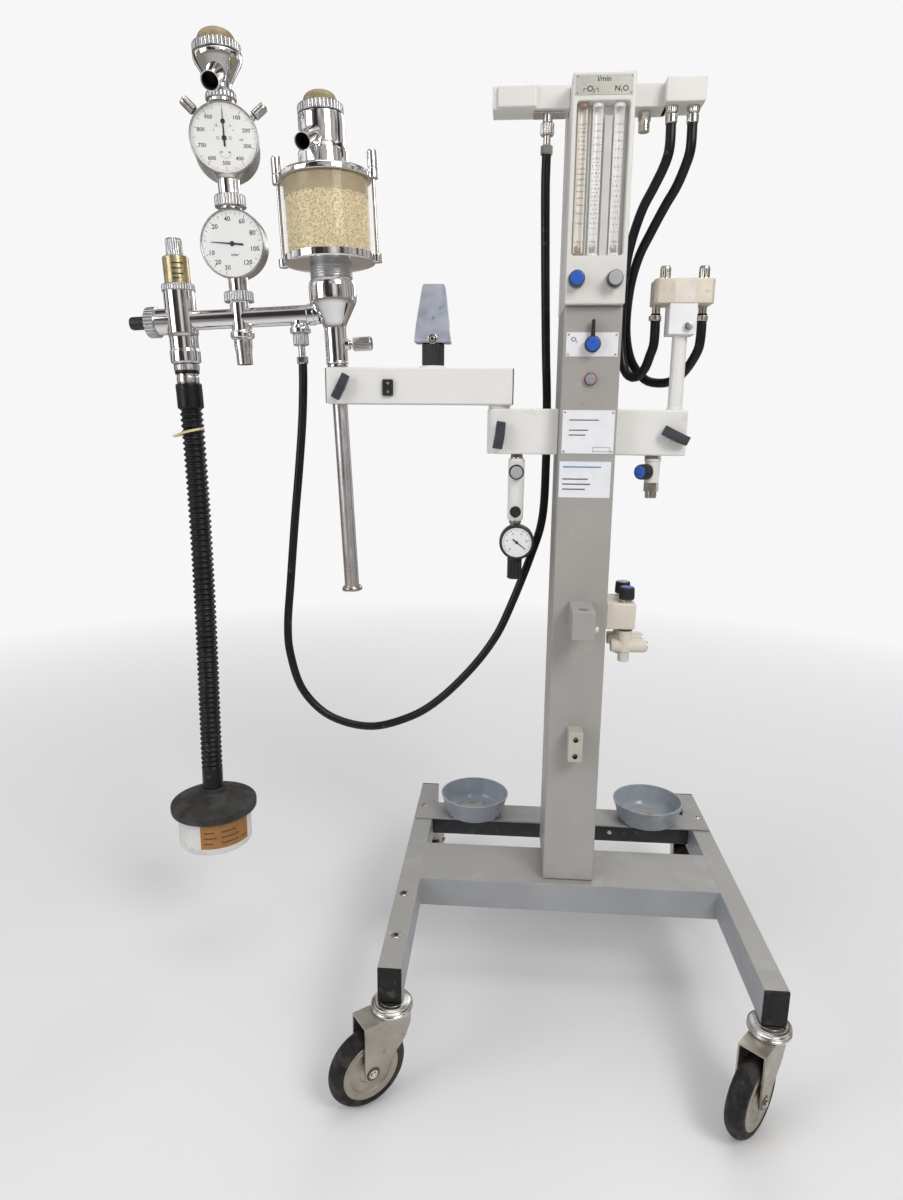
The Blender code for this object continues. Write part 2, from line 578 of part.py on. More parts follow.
def absorber(lean):
    """The post with its cone and base plate, the collar it turns in, and the glass canister."""
    collar = turned([(0.0126, -0.056), (0.0142, -0.056), (0.0142, 0.0003), (0.0162, 0.0006),
                     (0.0162, 0.0048), (0.0126, 0.0048)], sides=16, ring=True)
    moved(collar, Matrix.Translation((0, 0, 0.0006)))
    node("post_collar", collar, "cream", lean)
    post = turned([(0.0172, -0.371), (0.0172, -0.3645), (0.0122, -0.363), (0.0122, 0.0060), (0.0178, 0.0062),
                   (0.0178, 0.0610), (0.0200, 0.0680), (0.0370, 0.1000), (0.0376, 0.1050), (0.0376, 0.1280),
                   (0.0350, 0.1350), (0.0330, 0.1370), (0.0330, 0.1560), (0.0640, 0.1580), (0.0715, 0.1600),
                   (0.0715, GLASS_LOW - GAP)], sides=20)
    boss = rod((0.014, 0, 0.036), (0.0240, 0, 0.036), 0.0075, 10)
    ears = []
    for side in (-1, 1):
        ears.append(turned([(0.0075, 0.1580), (0.0075, GLASS_LOW - GAP)], (side * ROD_X, 0, 0), sides=10))
        ears.append(rod((side * ROD_X, 0, 0.165), (side * ROD_X, 0, GLASS_HIGH + 0.001), 0.0030, 8))
    fuse(post, boss, *ears)
    node("absorber_post", post, "chrome", lean)
    screw = turned([(0.0045, 0), (0.0045, 0.004), (0.0109, 0.005), (0.0109, 0.033), (0.0095, 0.0345)],
                   (0.0243, 0, 0.036), X_AXIS, 12)
    node("post_thumb_screw", screw, "chrome", lean, (0.0243, 0, 0.036))

    inside = GLASS_RADIUS - 0.003
    glass = turned([(inside, GLASS_LOW), (GLASS_RADIUS, GLASS_LOW), (GLASS_RADIUS, GLASS_HIGH),
                    (inside, GLASS_HIGH)], sides=24, ring=True)
    node("canister_glass", glass, "glass", lean)
    lime = turned([(inside - 0.001, GLASS_LOW + GAP), (inside - 0.001, 0.2570), (0.030, 0.2600)], sides=20)
    node("soda_lime", lime, "tan", lean)

    lid = turned([(0.0715, GLASS_HIGH + GAP), (0.0715, 0.2880), (0.0660, 0.2920), (0.0390, 0.2940)], sides=24)
    ears = []
    for side in (-1, 1):
        ears.append(turned([(0.0080, 0.2800), (0.0080, 0.2935), (0.0078, 0.2940), (0.0078, 0.3185),
                            (0.0062, 0.3200)], (side * ROD_X, 0, 0), sides=12))
    node("canister_lid", fuse(lid, *ears), "chrome", lean)

    valve = turned([(0.0390, 0.2943), (0.0390, 0.3200), (0.0362, 0.3260), (0.0352, 0.3420), (0.0360, 0.3540),
                    (0.0352, 0.3720), (0.0352, 0.3725), (0.0354, 0.3860), (0.0330, 0.3875), (0.0280, 0.3880),
                    (0.0272, 0.3950), (0.0215, 0.4015), (0.0080, 0.4055)], sides=20)
    mouth = Vector((-0.0155, -0.0680, 0.3160))
    root = Vector((0, 0, 0.3520))
    node("expiratory_valve", nozzled(valve, root, mouth, 0.0130), "chrome", lean)


def nozzled(valve, root, mouth, radius):
    """Adds an open tapered nozzle to a valve body."""
    way = (mouth - root).normalized()
    nozzle = turned([(radius + 0.0012, 0), (radius, (mouth - root).length)], root, way, 20)
    bore = rod(mouth - way * 0.030, mouth + way * 0.02, radius - 0.0018, 12)
    return cut(fuse(valve, nozzle), bore)


def breathing_pipe(lean):
    """The chrome cross pipe with its relief valve, gauge cross and fresh gas tee."""
    pipe = rod((-0.2900, 0, PIPE_Z), (-0.0240, 0, PIPE_Z), PIPE_RADIUS, 14)
    relief = turned([(0.0174, -0.0131), (0.0174, 0.0190), (0.0243, 0.0200), (0.0243, 0.0378), (0.0230, 0.0390),
                     (0.0230, 0.0600), (0.0250, 0.0650), (0.0250, 0.1310), (0.0264, 0.1320), (0.0264, 0.1400),
                     (0.0205, 0.1410), (0.0205, 0.1832), (0.0135, 0.1840), (0.0130, 0.2090), (0.0115, 0.2105)],
                    (RELIEF_X, 0, 0), sides=16)
    arm = turned([(0.0206, 0.008), (0.0206, 0.0385), (0.0243, 0.0390), (0.0243, 0.0560), (0.0200, 0.0565)],
                 (RELIEF_X, 0, PIPE_Z), -X_AXIS, 16)
    cross = turned([(0.0130, 0.0130), (0.0146, 0.0530), (0.0192, 0.0540), (0.0192, 0.0630), (0.0160, 0.0640),
                    (0.0160, 0.1080), (0.0236, 0.1090), (0.0236, 0.1245)], (GAUGE_X, 0, 0), sides=16)
    outlet = rod((GAUGE_X, 0, 0.0000), (GAUGE_X, 0, 0.0450), 0.0112, 12)
    tee = turned([(0.0093, 0.0097), (0.0093, 0.0190), (0.0056, 0.0200), (0.0056, 0.0370), (0.0125, 0.0380),
                  (0.0125, 0.0560), (0.0165, 0.0570), (0.0165, 0.0640), (0.0125, 0.0700), (0.0125, 0.0800)],
                 (TEE_X, 0, 0), sides=12)
    collar = rod((-0.0420, 0, PIPE_Z), (-0.0300, 0, PIPE_Z), 0.0165, 14)
    fuse(pipe, relief, arm, cross, tee, collar)
    cut(pipe, outlet, absorber_space())
    node("breathing_pipe", pipe, "chrome", lean)
    knob = turned([(0.0105, 0), (0.0105, 0.0275), (0.0095, 0.0290)],
                  (RELIEF_X - 0.0568, 0, PIPE_Z), -X_AXIS, 14)
    node("relief_knob", knob, "black", lean, (RELIEF_X - 0.0568, 0, PIPE_Z))


def absorber_space():
    """The room that the post's cone takes, a little larger than the cone itself."""
    return turned([(0.0178 + GAP, 0.0000), (0.0178 + GAP, 0.0610), (0.0200 + GAP, 0.0680 - GAP),
                   (0.0370 + GAP, 0.1000 - GAP), (0.0370 + GAP, 0.1300)], sides=20)


def gauges(lean):
    face = -0.0120
    manometer = turned([(DIAL_RADIUS - 0.004, 0.0350), (DIAL_RADIUS, 0.0300), (DIAL_RADIUS, 0),
                        (DIAL_RADIUS - 0.0035, 0), (DIAL_RADIUS - 0.0035, 0.0030), (0.002, 0.0030)],
                       (GAUGE_X, face, MANOMETER_Z), Y_AXIS, 24)
    low_stem = rod((GAUGE_X, 0, 0.1248), (GAUGE_X, 0, 0.1480), 0.0157, 14)
    top_stem = turned([(0.0170, 0.2400), (0.0170, 0.2503), (0.0245, 0.2508), (0.0245, 0.2679 - GAP)],
                      (GAUGE_X, 0, 0), sides=14)
    node("manometer", fuse(manometer, low_stem, top_stem), "chrome", lean)
    pointer = needle((GAUGE_X, face + 0.0024, MANOMETER_Z), 0.036, 0.020, 83)
    node("manometer_pointer", pointer, "black", lean, (GAUGE_X, face + 0.0024, MANOMETER_Z))

    face = -0.0150
    to_reader = turn_about((GAUGE_X, 0, VOLUMETER_Z), "Z", VOLUMETER_TURN)
    volumeter = turned([(DIAL_RADIUS - 0.003, 0.0680), (DIAL_RADIUS, 0.0650), (DIAL_RADIUS, 0),
                        (DIAL_RADIUS - 0.0035, 0), (DIAL_RADIUS - 0.0035, 0.0030), (0.002, 0.0030)],
                       (GAUGE_X, face, VOLUMETER_Z), Y_AXIS, 24)
    stem = turned([(0.0170, 0.2679), (0.0170, 0.2900), (0.0230, 0.3000), (0.0230, 0.3050)],
                  (GAUGE_X, 0, 0), sides=14)
    neck = turned([(0.0200, 0.3900), (0.0200, 0.4028), (0.0235, 0.4035), (0.0235, 0.4100), (0.0200, 0.4160)],
                  (GAUGE_X, 0, 0), sides=14)
    fuse(volumeter, stem, neck)
    for name, degrees in (("volumeter_button_left", 134), ("volumeter_button_right", 40)):
        way = Vector((math.cos(math.radians(degrees)), 0, math.sin(math.radians(degrees))))
        centre = Vector((GAUGE_X, 0.010, VOLUMETER_Z))
        fuse(volumeter, rod(centre + way * 0.047, centre + way * 0.058, 0.0055, 10))
        button = turned([(0.0078, 0), (0.0078, 0.0210), (0.0068, 0.0225)], centre + way * 0.0618, way, 16)
        node(name, moved(button, to_reader), "chrome", lean, to_reader @ (centre + way * 0.0618))
    node("volumeter", moved(volumeter, to_reader), "chrome", lean)
    pointer = needle((GAUGE_X, face + 0.0024, VOLUMETER_Z), 0.036, 0.014, 0)
    node("volumeter_pointer", moved(pointer, to_reader), "black", lean,
         to_reader @ Vector((GAUGE_X, face + 0.0024, VOLUMETER_Z)))

    valve = turned([(0.0168, VALVE_Z), (0.0168, 0.4230), (0.0350, 0.4540), (0.0371, 0.4590), (0.0371, 0.4640),
                    (0.0365, 0.4650), (0.0368, 0.4790), (0.0345, 0.4805), (0.0300, 0.4810), (0.0292, 0.4880),
                    (0.0220, 0.4955), (0.0080, 0.4995)], (GAUGE_X, 0, 0), sides=20)
    mouth = Vector((GAUGE_X + 0.0040, -0.0560, 0.4090))
    root = Vector((GAUGE_X, 0, 0.4480))
    node("inspiratory_valve", nozzled(valve, root, mouth, 0.0140), "chrome", lean)


def needle(centre, reach, tail, degrees):
    """A flat pointer on a hub, standing off a dial; 0 degrees points up, positive towards -X."""
    x, y, z = centre
    hub = turned([(0.0035, 0), (0.0035, 0.0014)], (x, y - 0.0014, z), Y_AXIS, 10)
    blade = prism([(x - 0.0018, z - tail), (x + 0.0018, z - tail), (x + 0.0006, z + reach),
                   (x - 0.0006, z + reach)], y - 0.0012, 0.0010)
    moved(blade, turn_about(centre, "Y", -degrees))
    return fuse(hub, blade)


FRESH_GAS_ROUTE = [
    (-0.077, 0.004, 1.4120), (-0.077, 0.006, 1.3700), (-0.074, 0.015, 1.2900), (-0.070, 0.026, 1.2000),
    (-0.066, 0.036, 1.1200), (-0.062, 0.040, 1.0500), (-0.060, 0.040, 0.9550), (-0.063, 0.037, 0.8560),
    (-0.082, 0.030, 0.7870), (-0.114, 0.024, 0.7000), (-0.139, 0.021, 0.6450), (-0.178, 0.016, 0.5900),
    (-0.234, 0.011, 0.5320), (-0.288, 0.008, 0.4960), (-0.361, 0.004, 0.4760), (-0.434, 0.002, 0.4940),
    (-0.482, 0.001, 0.5420), (-0.502, 0.000, 0.6070), (-0.505, 0.000, 0.6620), (-0.497, 0.000, 0.7430),
    (-0.486, 0.000, 0.8480), (-0.476, 0.000, 0.9330), (-0.468, 0.000, 1.0100), (-0.4644, 0.000, 1.0690),
    (-0.4636, 0.000, 1.1048)]

LEFT_MANIFOLD_ROUTE = [
    (0.1045, -0.010, 1.4525), (0.1045, -0.010, 1.4140), (0.100, 0.002, 1.3930), (0.089, 0.021, 1.3680),
    (0.077, 0.037, 1.3430), (0.066, 0.050, 1.3050), (0.059, 0.056, 1.2650), (0.056, 0.058, 1.2100),
    (0.057, 0.056, 1.1450), (0.064, 0.048, 1.1020), (0.078, 0.034, 1.0880), (0.092, 0.022, 1.1000),
    (0.099, 0.015, 1.1220), (0.103, 0.010, 1.1400), (0.103, 0.010, 1.1832)]

RIGHT_MANIFOLD_ROUTE = [
    (0.1355, -0.010, 1.4525), (0.1355, -0.010, 1.4140), (0.132, 0.002, 1.3940), (0.124, 0.020, 1.3700),
    (0.112, 0.036, 1.3480), (0.096, 0.054, 1.3150), (0.080, 0.070, 1.2780), (0.070, 0.080, 1.2300),
    (0.068, 0.083, 1.1670), (0.078, 0.078, 1.1190), (0.099, 0.068, 1.0890), (0.119, 0.058, 1.0810),
    (0.140, 0.046, 1.0830), (0.158, 0.033, 1.0970), (0.172, 0.016, 1.1250), (0.175, 0.010, 1.1450),
    (0.175, 0.010, 1.1832)]

BREATHING_HOSE_ROUTE = [
    (-0.6585, 0.000, 1.0727), (-0.6570, 0.000, 1.0400), (-0.6545, 0.000, 0.9600), (-0.6530, 0.000, 0.8600),
    (-0.6530, 0.000, 0.7500), (-0.6540, 0.000, 0.6400), (-0.6560, 0.000, 0.5300), (-0.6580, 0.000, 0.4300),
    (FILTER_X, 0.000, 0.3490)]


def filter_canister(stand):
    can = turned([(0.0620, 0.2405), (0.0660, 0.2450), (0.0660, 0.3040), (0.0755, 0.3042), (0.0775, 0.3080),
                  (0.0775, 0.3190), (0.0750, 0.3215), (0.0250, 0.3400), (0.0215, 0.3487)],
                 (FILTER_X, 0, 0), sides=24)
    node("filter_canister", can, "white", stand, (FILTER_X, 0, 0.3487))


def build():
    clear_scene()
    stand = empty("machine", location=(ORIGIN_X, ORIGIN_Y, 0))
    lean = empty("breathing_system", stand, (POST_FOOT_X, 0, ARM_TOP), LEAN)
    base_frame(stand)
    for place in CASTER_HEADING:
        side = -1 if place.endswith("left") else 1
        caster(place, side * CASTER_X, CASTER_FRONT_Y if place.startswith("front") else CASTER_BACK_Y, stand)
    shelf(stand)
    column(stand)
    flowmeter(stand)
    front_controls(stand)
    brackets(stand)
    vacuum_valve(stand)
    outlet_valve(stand)
    manifold_post(stand)
    side_valve(stand)
    top_beam(stand)
    swing_arm(stand)
    absorber(lean)
    breathing_pipe(lean)
    gauges(lean)
    hose("fresh_gas_hose", FRESH_GAS_ROUTE, FRESH_HOSE_RADIUS, stand)
    hose("manifold_hose_left", LEFT_MANIFOLD_ROUTE, MANIFOLD_HOSE_RADIUS, stand)
    hose("manifold_hose_right", RIGHT_MANIFOLD_ROUTE, MANIFOLD_HOSE_RADIUS, stand)
    hose("corrugated_hose", BREATHING_HOSE_ROUTE, BREATHING_HOSE_RADIUS, stand)
    filter_canister(stand)


build()
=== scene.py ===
"""Looks for the mobile anesthesia machine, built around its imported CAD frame."""
import math
import random

import bmesh
import bpy
from mathutils import Matrix, Vector


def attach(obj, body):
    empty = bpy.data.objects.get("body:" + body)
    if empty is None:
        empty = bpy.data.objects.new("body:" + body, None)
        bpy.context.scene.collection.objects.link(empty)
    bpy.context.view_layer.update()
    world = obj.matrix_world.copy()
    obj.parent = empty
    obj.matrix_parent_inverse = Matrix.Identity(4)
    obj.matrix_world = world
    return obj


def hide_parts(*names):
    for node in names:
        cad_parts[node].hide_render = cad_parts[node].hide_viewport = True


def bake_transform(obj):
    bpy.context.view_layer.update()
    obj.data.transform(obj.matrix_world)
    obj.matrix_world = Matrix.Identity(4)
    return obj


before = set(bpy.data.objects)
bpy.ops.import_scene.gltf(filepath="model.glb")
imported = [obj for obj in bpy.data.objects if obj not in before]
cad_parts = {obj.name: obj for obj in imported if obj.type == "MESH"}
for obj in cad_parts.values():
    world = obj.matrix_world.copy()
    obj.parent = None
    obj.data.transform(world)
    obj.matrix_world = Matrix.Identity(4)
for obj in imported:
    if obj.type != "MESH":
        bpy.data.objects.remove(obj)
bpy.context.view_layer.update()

# Millimetres, until Piece.made takes a shape to the frame's metres; only the lights, the floor and the
# grain of the materials are in metres.  Places are written in the column's own coordinates: X from its
# middle plane, Y to the back, Z up from the floor.  STAND takes them to the frame; LEAN does so for the
# leaning breathing system, whose own origin is on the swing arm's top, with Z along the post; READER
# turns the volumeter out there.
TO_METRES = 0.001
STAND = Matrix.Scale(TO_METRES, 4) @ Matrix.Translation((219, -14.5, 0))
POST_FOOT_X = -406
ARM_TOP = 1098.5
POST_LEAN = -2.7
LEAN = (STAND @ Matrix.Translation((POST_FOOT_X, 0, ARM_TOP))
        @ Matrix.Rotation(math.radians(POST_LEAN), 4, "Y"))
GAUGE_X = -154
READER_TURN = 15
READER = (LEAN @ Matrix.Translation((GAUGE_X, 0, 0)) @ Matrix.Rotation(math.radians(READER_TURN), 4, "Z")
          @ Matrix.Translation((-GAUGE_X, 0, 0)))

BASE_HALF_WIDTH = 300
LEG_WIDTH = 37
LEG_FRONT = -306.7
LEG_BACK = 317.4
FRAME_TOP = 218
LEG_BOTTOM = 161
CAP_DEPTH = 3.5
CASTER_X = 279.5
CASTER_TRAIL = 44
# Side, Y of the stem and heading in degrees.
CASTERS = {"front_left": (-1, LEG_FRONT + 12, 218), "front_right": (1, LEG_FRONT + 12, 229),
    "rear_left": (-1, LEG_BACK - 12, 85), "rear_right": (1, LEG_BACK - 12, 262)}
WHEEL_RADIUS = 62.5
TRAY_TOP = 222.3
TRAY_FRONT = 151
TRAY_BACK = 219
CUP_X = 177
CUP_Y = (TRAY_FRONT + TRAY_BACK) / 2
COLUMN_HALF = 44.3
COLUMN_FRONT = -47
COLUMN_BACK = 100
COLUMN_TOP = 1187.5
BUTTON_Z = 1080
SELECTOR_Z = 1131
FLOW_KNOB_Z = 1222
TERMINAL_Z = (468.3, 497.7)
HOUSING_HALF = 44.7
HOUSING_FRONT = -60
HOUSING_BACK = 108
HOUSING_TOP = 1500
WINDOW_LOW = 1256
WINDOW_HIGH = 1462.5
TUBE_X = (-28, -6.5, 24.5)
TUBE_Y = -47.5
BRACKET_LOW = 964
BRACKET_HIGH = 1036
BRACKET_FRONT = -19
PIVOT_X = -140.5
POST_X = 140.5
BEAM_LOW = 1470
BEAM_HIGH = 1502
ARM_LEFT = -422
ARM_RIGHT = -118
ARM_LOW = 1041.5
ARM_FRONT = -24
HOLDER_X = -249
PIPE_Z = 85
RELIEF_X = -253.5
TEE_X = -57.3
GLASS_LOW = 170.5
GLASS_HIGH = 278.5
GLASS_RADIUS = 68.5
ROD_X = 75.7
MANOMETER_Z = 196
VOLUMETER_Z = 347
MANOMETER_FRONT = -12
VOLUMETER_FRONT = -15
DIAL_SUNK = 2.2
DIAL_RADIUS = 52.5
FILTER_X = -659

X_AXIS = Vector((1, 0, 0))
Y_AXIS = Vector((0, 1, 0))
Z_AXIS = Vector((0, 0, 1))
FORWARD = -Y_AXIS


# ---------------------------------------------------------------- shapes

def bridged(shape, loops, ring=False):
    """Faces between each loop of corners and the next; the end loops are closed, or joined in a ring."""
    pairs = list(zip(loops, loops[1:]))
    if ring:
        pairs.append((loops[-1], loops[0]))
    else:
        shape.faces.new(loops[0])
        shape.faces.new(loops[-1])
    for lower, upper in pairs:
        for step in range(len(lower)):
            after = (step + 1) % len(lower)
            shape.faces.new((lower[step], lower[after], upper[after], upper[step]))
    return shape


def rounded(shape, edges, offset, segments):
    bmesh.ops.bevel(shape, geom=edges, offset=offset, segments=segments, profile=0.5, affect="EDGES",
        clamp_overlap=True)
    return shape


def extruded(points, away):
    """A flat face through the points, drawn out along away into a solid."""
    shape = bmesh.new()
    face = shape.faces.new([shape.verts.new(point) for point in points])
    moved = bmesh.ops.extrude_face_region(shape, geom=[face])["geom"]
    bmesh.ops.translate(shape, vec=away, verts=[item for item in moved
        if isinstance(item, bmesh.types.BMVert)])
    return shape


def block(low, high, bevel=1, steps=3):
    """A box between two corners, its edges rounded by bevel."""
    low, high = Vector(low), Vector(high)
    shape = bmesh.new()
    bmesh.ops.create_cube(shape, size=1.0)
    bmesh.ops.scale(shape, vec=high - low, verts=shape.verts)
    bmesh.ops.translate(shape, vec=(low + high) / 2, verts=shape.verts)
    return rounded(shape, shape.edges[:], bevel, steps) if bevel else shape


def points_of(written):
    """Points from a list of them, or from text such as "10,0 10,5.5 8,6"."""
    if isinstance(written, str):
        return [tuple(map(float, point.split(","))) for point in written.split()]
    return written


def softened(profile, radius, closed=False):
    """A profile of (radius, height, flute depth) points with its corners rounded off."""
    points = [(*point, 0)[:3] for point in points_of(profile)]
    if not radius:
        return points
    count = len(points)
    result = []
    for index, (r, z, flute) in enumerate(points):
        if not closed and index in (0, count - 1):
            result.append((r, z, flute))
            continue
        here = Vector((r, z))
        before = Vector(points[index - 1][:2]) - here
        after = Vector(points[(index + 1) % count][:2]) - here
        if before.length < 0.0001 or after.length < 0.0001 or before.angle(after) > math.radians(168):
            result.append((r, z, flute))
            continue
        start = here + before.normalized() * min(radius, before.length * 0.45)
        end = here + after.normalized() * min(radius, after.length * 0.45)
        for t in (0, 0.5, 1):
            spot = start * (1 - t) ** 2 + here * 2 * t * (1 - t) + end * t ** 2
            result.append((spot.x, spot.y, flute))
    return result


def turned(profile, base=(0, 0, 0), axis=Z_AXIS, sides=48, ring=False, flutes=0, soft=0.6):
    """A turned solid of (radius, height) points; a third number is how deep the flutes cut there."""
    to_axis = Z_AXIS.rotation_difference(Vector(axis).normalized()).to_matrix()
    sides = max(sides, flutes * 8)
    shape = bmesh.new()
    loops = []
    for radius, height, depth in softened(profile, soft, ring):
        corners = []
        for step in range(sides):
            angle = 2 * math.pi * step / sides
            wave = abs(math.sin(flutes * angle / 2)) ** 0.6 if flutes else 1
            reach = radius - depth * (1 - wave)
            point = Vector((reach * math.cos(angle), reach * math.sin(angle), height))
            corners.append(shape.verts.new(Vector(base) + to_axis @ point))
        loops.append(corners)
    return bridged(shape, loops, ring)


def rod(start, end, radius, sides=32, soft=0.4):
    """A cylinder from one point to another, its rims rounded."""
    start, end = Vector(start), Vector(end)
    length = (end - start).length
    edge = min(soft, radius / 3, length / 3)
    return turned([(radius - edge, 0), (radius, edge), (radius, length - edge), (radius - edge, length)],
        start, end - start, sides, soft=edge / 2)


def hexagon(width, start, end):
    """A hexagonal nut between two points, its corners chamfered."""
    start, end = Vector(start), Vector(end)
    length = (end - start).length
    edge = width * 0.07
    return turned([(width / 2 - edge, 0), (width / 2 / 0.866 - edge, edge / 2),
        (width / 2 / 0.866 - edge, length - edge / 2), (width / 2 - edge, length)], start, end - start, 6,
        soft=0.1)


def prism(outline, start, depth, bevel=0.8):
    """A flat outline of (x, z) points, standing in the XZ plane and extruded along Y."""
    shape = extruded([(x, start, z) for x, z in outline], (0, depth, 0))
    return rounded(shape, shape.edges[:], bevel, 2) if bevel else shape


def rounded_outline(half_width, low, high, radius, steps=6):
    """A rectangle of (x, z) points, centred on x = 0, with a quarter circle at each corner."""
    outline = []
    corners = ((half_width - radius, high - radius), (radius - half_width, high - radius),
        (radius - half_width, low + radius), (half_width - radius, low + radius))
    for quarter, (x, z) in enumerate(corners):
        for step in range(steps + 1):
            angle = math.pi / 2 * (quarter + step / steps)
            outline.append((x + radius * math.cos(angle), z + radius * math.sin(angle)))
    return outline


def swept(points, radius_at, sides=24):
    """A round tube along points; radius_at takes the distance gone and the whole length."""
    points = [Vector(point) for point in points]
    length = sum((b - a).length for a, b in zip(points, points[1:]))
    shape = bmesh.new()
    loops = []
    gone = 0
    side = None
    for index, point in enumerate(points):
        before, after = points[max(index - 1, 0)], points[min(index + 1, len(points) - 1)]
        way = (after - before).normalized()
        gone += (point - before).length if index else 0
        side = way.orthogonal().normalized() if side is None else (side - way * side.dot(way)).normalized()
        up = way.cross(side)
        radius = radius_at(gone, length)
        loops.append([shape.verts.new(point + (side * math.cos(2 * math.pi * step / sides)
            + up * math.sin(2 * math.pi * step / sides)) * radius) for step in range(sides)])
    return bridged(shape, loops)


def smooth_points(route, spacing):
    """Points a set distance apart on a smooth curve through the route's own points."""
    points = [Vector(point) for point in points_of(route)]
    padded = [2 * points[0] - points[1], *points, 2 * points[-1] - points[-2]]
    dense = []
    for before, start, end, after in zip(padded, padded[1:], padded[2:], padded[3:]):
        for step in range(64):
            t = step / 64
            curve = 2 * start + (end - before) * t
            curve += (2 * before - 5 * start + 4 * end - after) * t ** 2
            curve += (3 * start - before - 3 * end + after) * t ** 3
            dense.append(curve / 2)
    dense.append(points[-1])
    length = path_length(dense)
    count = max(2, round(length / spacing))
    picked = [dense[0]]
    travelled = 0
    for a, b in zip(dense, dense[1:]):
        travelled += (b - a).length
        if travelled >= length * len(picked) / count and len(picked) < count:
            picked.append(b)
    picked.append(dense[-1])
    return picked


def path_length(points):
    return sum((b - a).length for a, b in zip(points, points[1:]))


def turn_about(point, axis, degrees):
    point = Vector(point)
    return Matrix.Translation(point) @ Matrix.Rotation(math.radians(degrees), 4,
        axis) @ Matrix.Translation(-point)


def loose_object(shape):
    mesh = bpy.data.meshes.new("loose")
    bmesh.ops.recalc_face_normals(shape, faces=shape.faces)
    shape.to_mesh(mesh)
    shape.free()
    thing = bpy.data.objects.new("loose", mesh)
    bpy.context.scene.collection.objects.link(thing)
    return thing


def evaluated_mesh(thing):
    bpy.context.view_layer.update()
    return bpy.data.meshes.new_from_object(thing.evaluated_get(bpy.context.evaluated_depsgraph_get()))


def carved(shape, *cutters):
    """The shape with the cutters' room taken out of it."""
    thing = loose_object(shape)
    for cutter in cutters:
        other = loose_object(cutter)
        change = thing.modifiers.new("cut", "BOOLEAN")
        change.operation = "DIFFERENCE"
        change.solver = "EXACT"
        change.object = other
        result = evaluated_mesh(thing)
        thing.modifiers.clear()
        thing.data = result
        bpy.data.objects.remove(other)
    left = bmesh.new()
    left.from_mesh(thing.data)
    bpy.data.objects.remove(thing)
    return left


def lettering(text, height, place):
    """Printed characters as a thin raised shape on a matrix whose Z points out of the surface."""
    curve = bpy.data.curves.new("print", "FONT")
    curve.body = text
    curve.size = height
    curve.offset = height * 0.018
    curve.align_x = "CENTER"
    curve.align_y = "CENTER"
    curve.extrude = 0.06
    curve.resolution_u = 2
    thing = bpy.data.objects.new("print", curve)
    bpy.context.scene.collection.objects.link(thing)
    shape = bmesh.new()
    shape.from_mesh(evaluated_mesh(thing))
    bpy.data.objects.remove(thing)
    bmesh.ops.transform(shape, matrix=place, verts=shape.verts)
    return shape


def facing_front(x, y, z, turn=0):
    """A place on a surface that faces the front, with its X to the right; turn is clockwise."""
    return (Matrix.Translation((x, y, z)) @ Matrix.Rotation(math.radians(turn), 4, "Y")
        @ Matrix.Rotation(math.radians(90), 4, "X"))


class Piece:
    """One visible piece, added up from shapes that may each have a material of their own."""

    def __init__(self, name, body, slot, replaces=(), place=STAND):
        self.name, self.body, self.slot = name, body, slot
        self.replaces, self.place = replaces, place
        self.mesh = bmesh.new()
        self.materials = []

    def add(self, look, *shapes, by=None):
        if look not in self.materials:
            self.materials.append(look)
        for shape in shapes:
            if by is not None:
                bmesh.ops.transform(shape, matrix=by, verts=shape.verts)
            bmesh.ops.recalc_face_normals(shape, faces=shape.faces)
            for face in shape.faces:
                face.material_index = self.materials.index(look)
                face.smooth = True
            part = bpy.data.meshes.new("part")
            shape.to_mesh(part)
            shape.free()
            self.mesh.from_mesh(part)
            bpy.data.meshes.remove(part)
        return self

    def turn(self, look, *profile_and_place, by=None, **more):
        return self.add(look, turned(*profile_and_place, **more), by=by)

    def block(self, look, *corners_and_bevel, by=None):
        return self.add(look, block(*corners_and_bevel), by=by)

    def rod(self, look, *ends_and_radius, by=None):
        return self.add(look, rod(*ends_and_radius), by=by)

    def made(self, sharp=38):
        mesh = bpy.data.meshes.new(self.name)
        bmesh.ops.transform(self.mesh, matrix=self.place, verts=self.mesh.verts)
        self.mesh.to_mesh(mesh)
        self.mesh.free()
        for look in self.materials:
            mesh.materials.append(look)
        mesh.set_sharp_from_angle(angle=math.radians(sharp))
        thing = bpy.data.objects.new(self.name, mesh)
        bpy.context.scene.collection.objects.link(thing)
        level = thing.modifiers.new("flat faces", "WEIGHTED_NORMAL")
        level.keep_sharp = True
        if self.body:
            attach(thing, self.body)
        if self.replaces:
            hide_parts(*self.replaces)
        return thing


def looks(node, slot, body="stand", place=STAND):
    """The piece that is seen in place of one CAD node."""
    return Piece(node + "_looks", body, slot, [node], place)


# ---------------------------------------------------------------- materials

def add_node(tree, kind, inputs):
    """The first output of a new node; an input that is another node's output is linked."""
    node = tree.nodes.new("ShaderNode" + kind)
    for socket, value in inputs.items():
        if isinstance(value, bpy.types.NodeSocket):
            tree.links.new(value, node.inputs[socket])
        else:
            node.inputs[socket].default_value = value
    return node.outputs[0]


def mixed(tree, share, first, second):
    """Two colours, each a plain one or an output, mixed by share."""
    mix = tree.nodes.new("ShaderNodeMix")
    mix.data_type = "RGBA"
    tree.links.new(share, mix.inputs[0])
    for socket, value in ((mix.inputs[6], first), (mix.inputs[7], second)):
        if isinstance(value, bpy.types.NodeSocket):
            tree.links.new(value, socket)
        else:
            socket.default_value = (*value, 1)
    return mix.outputs[2]


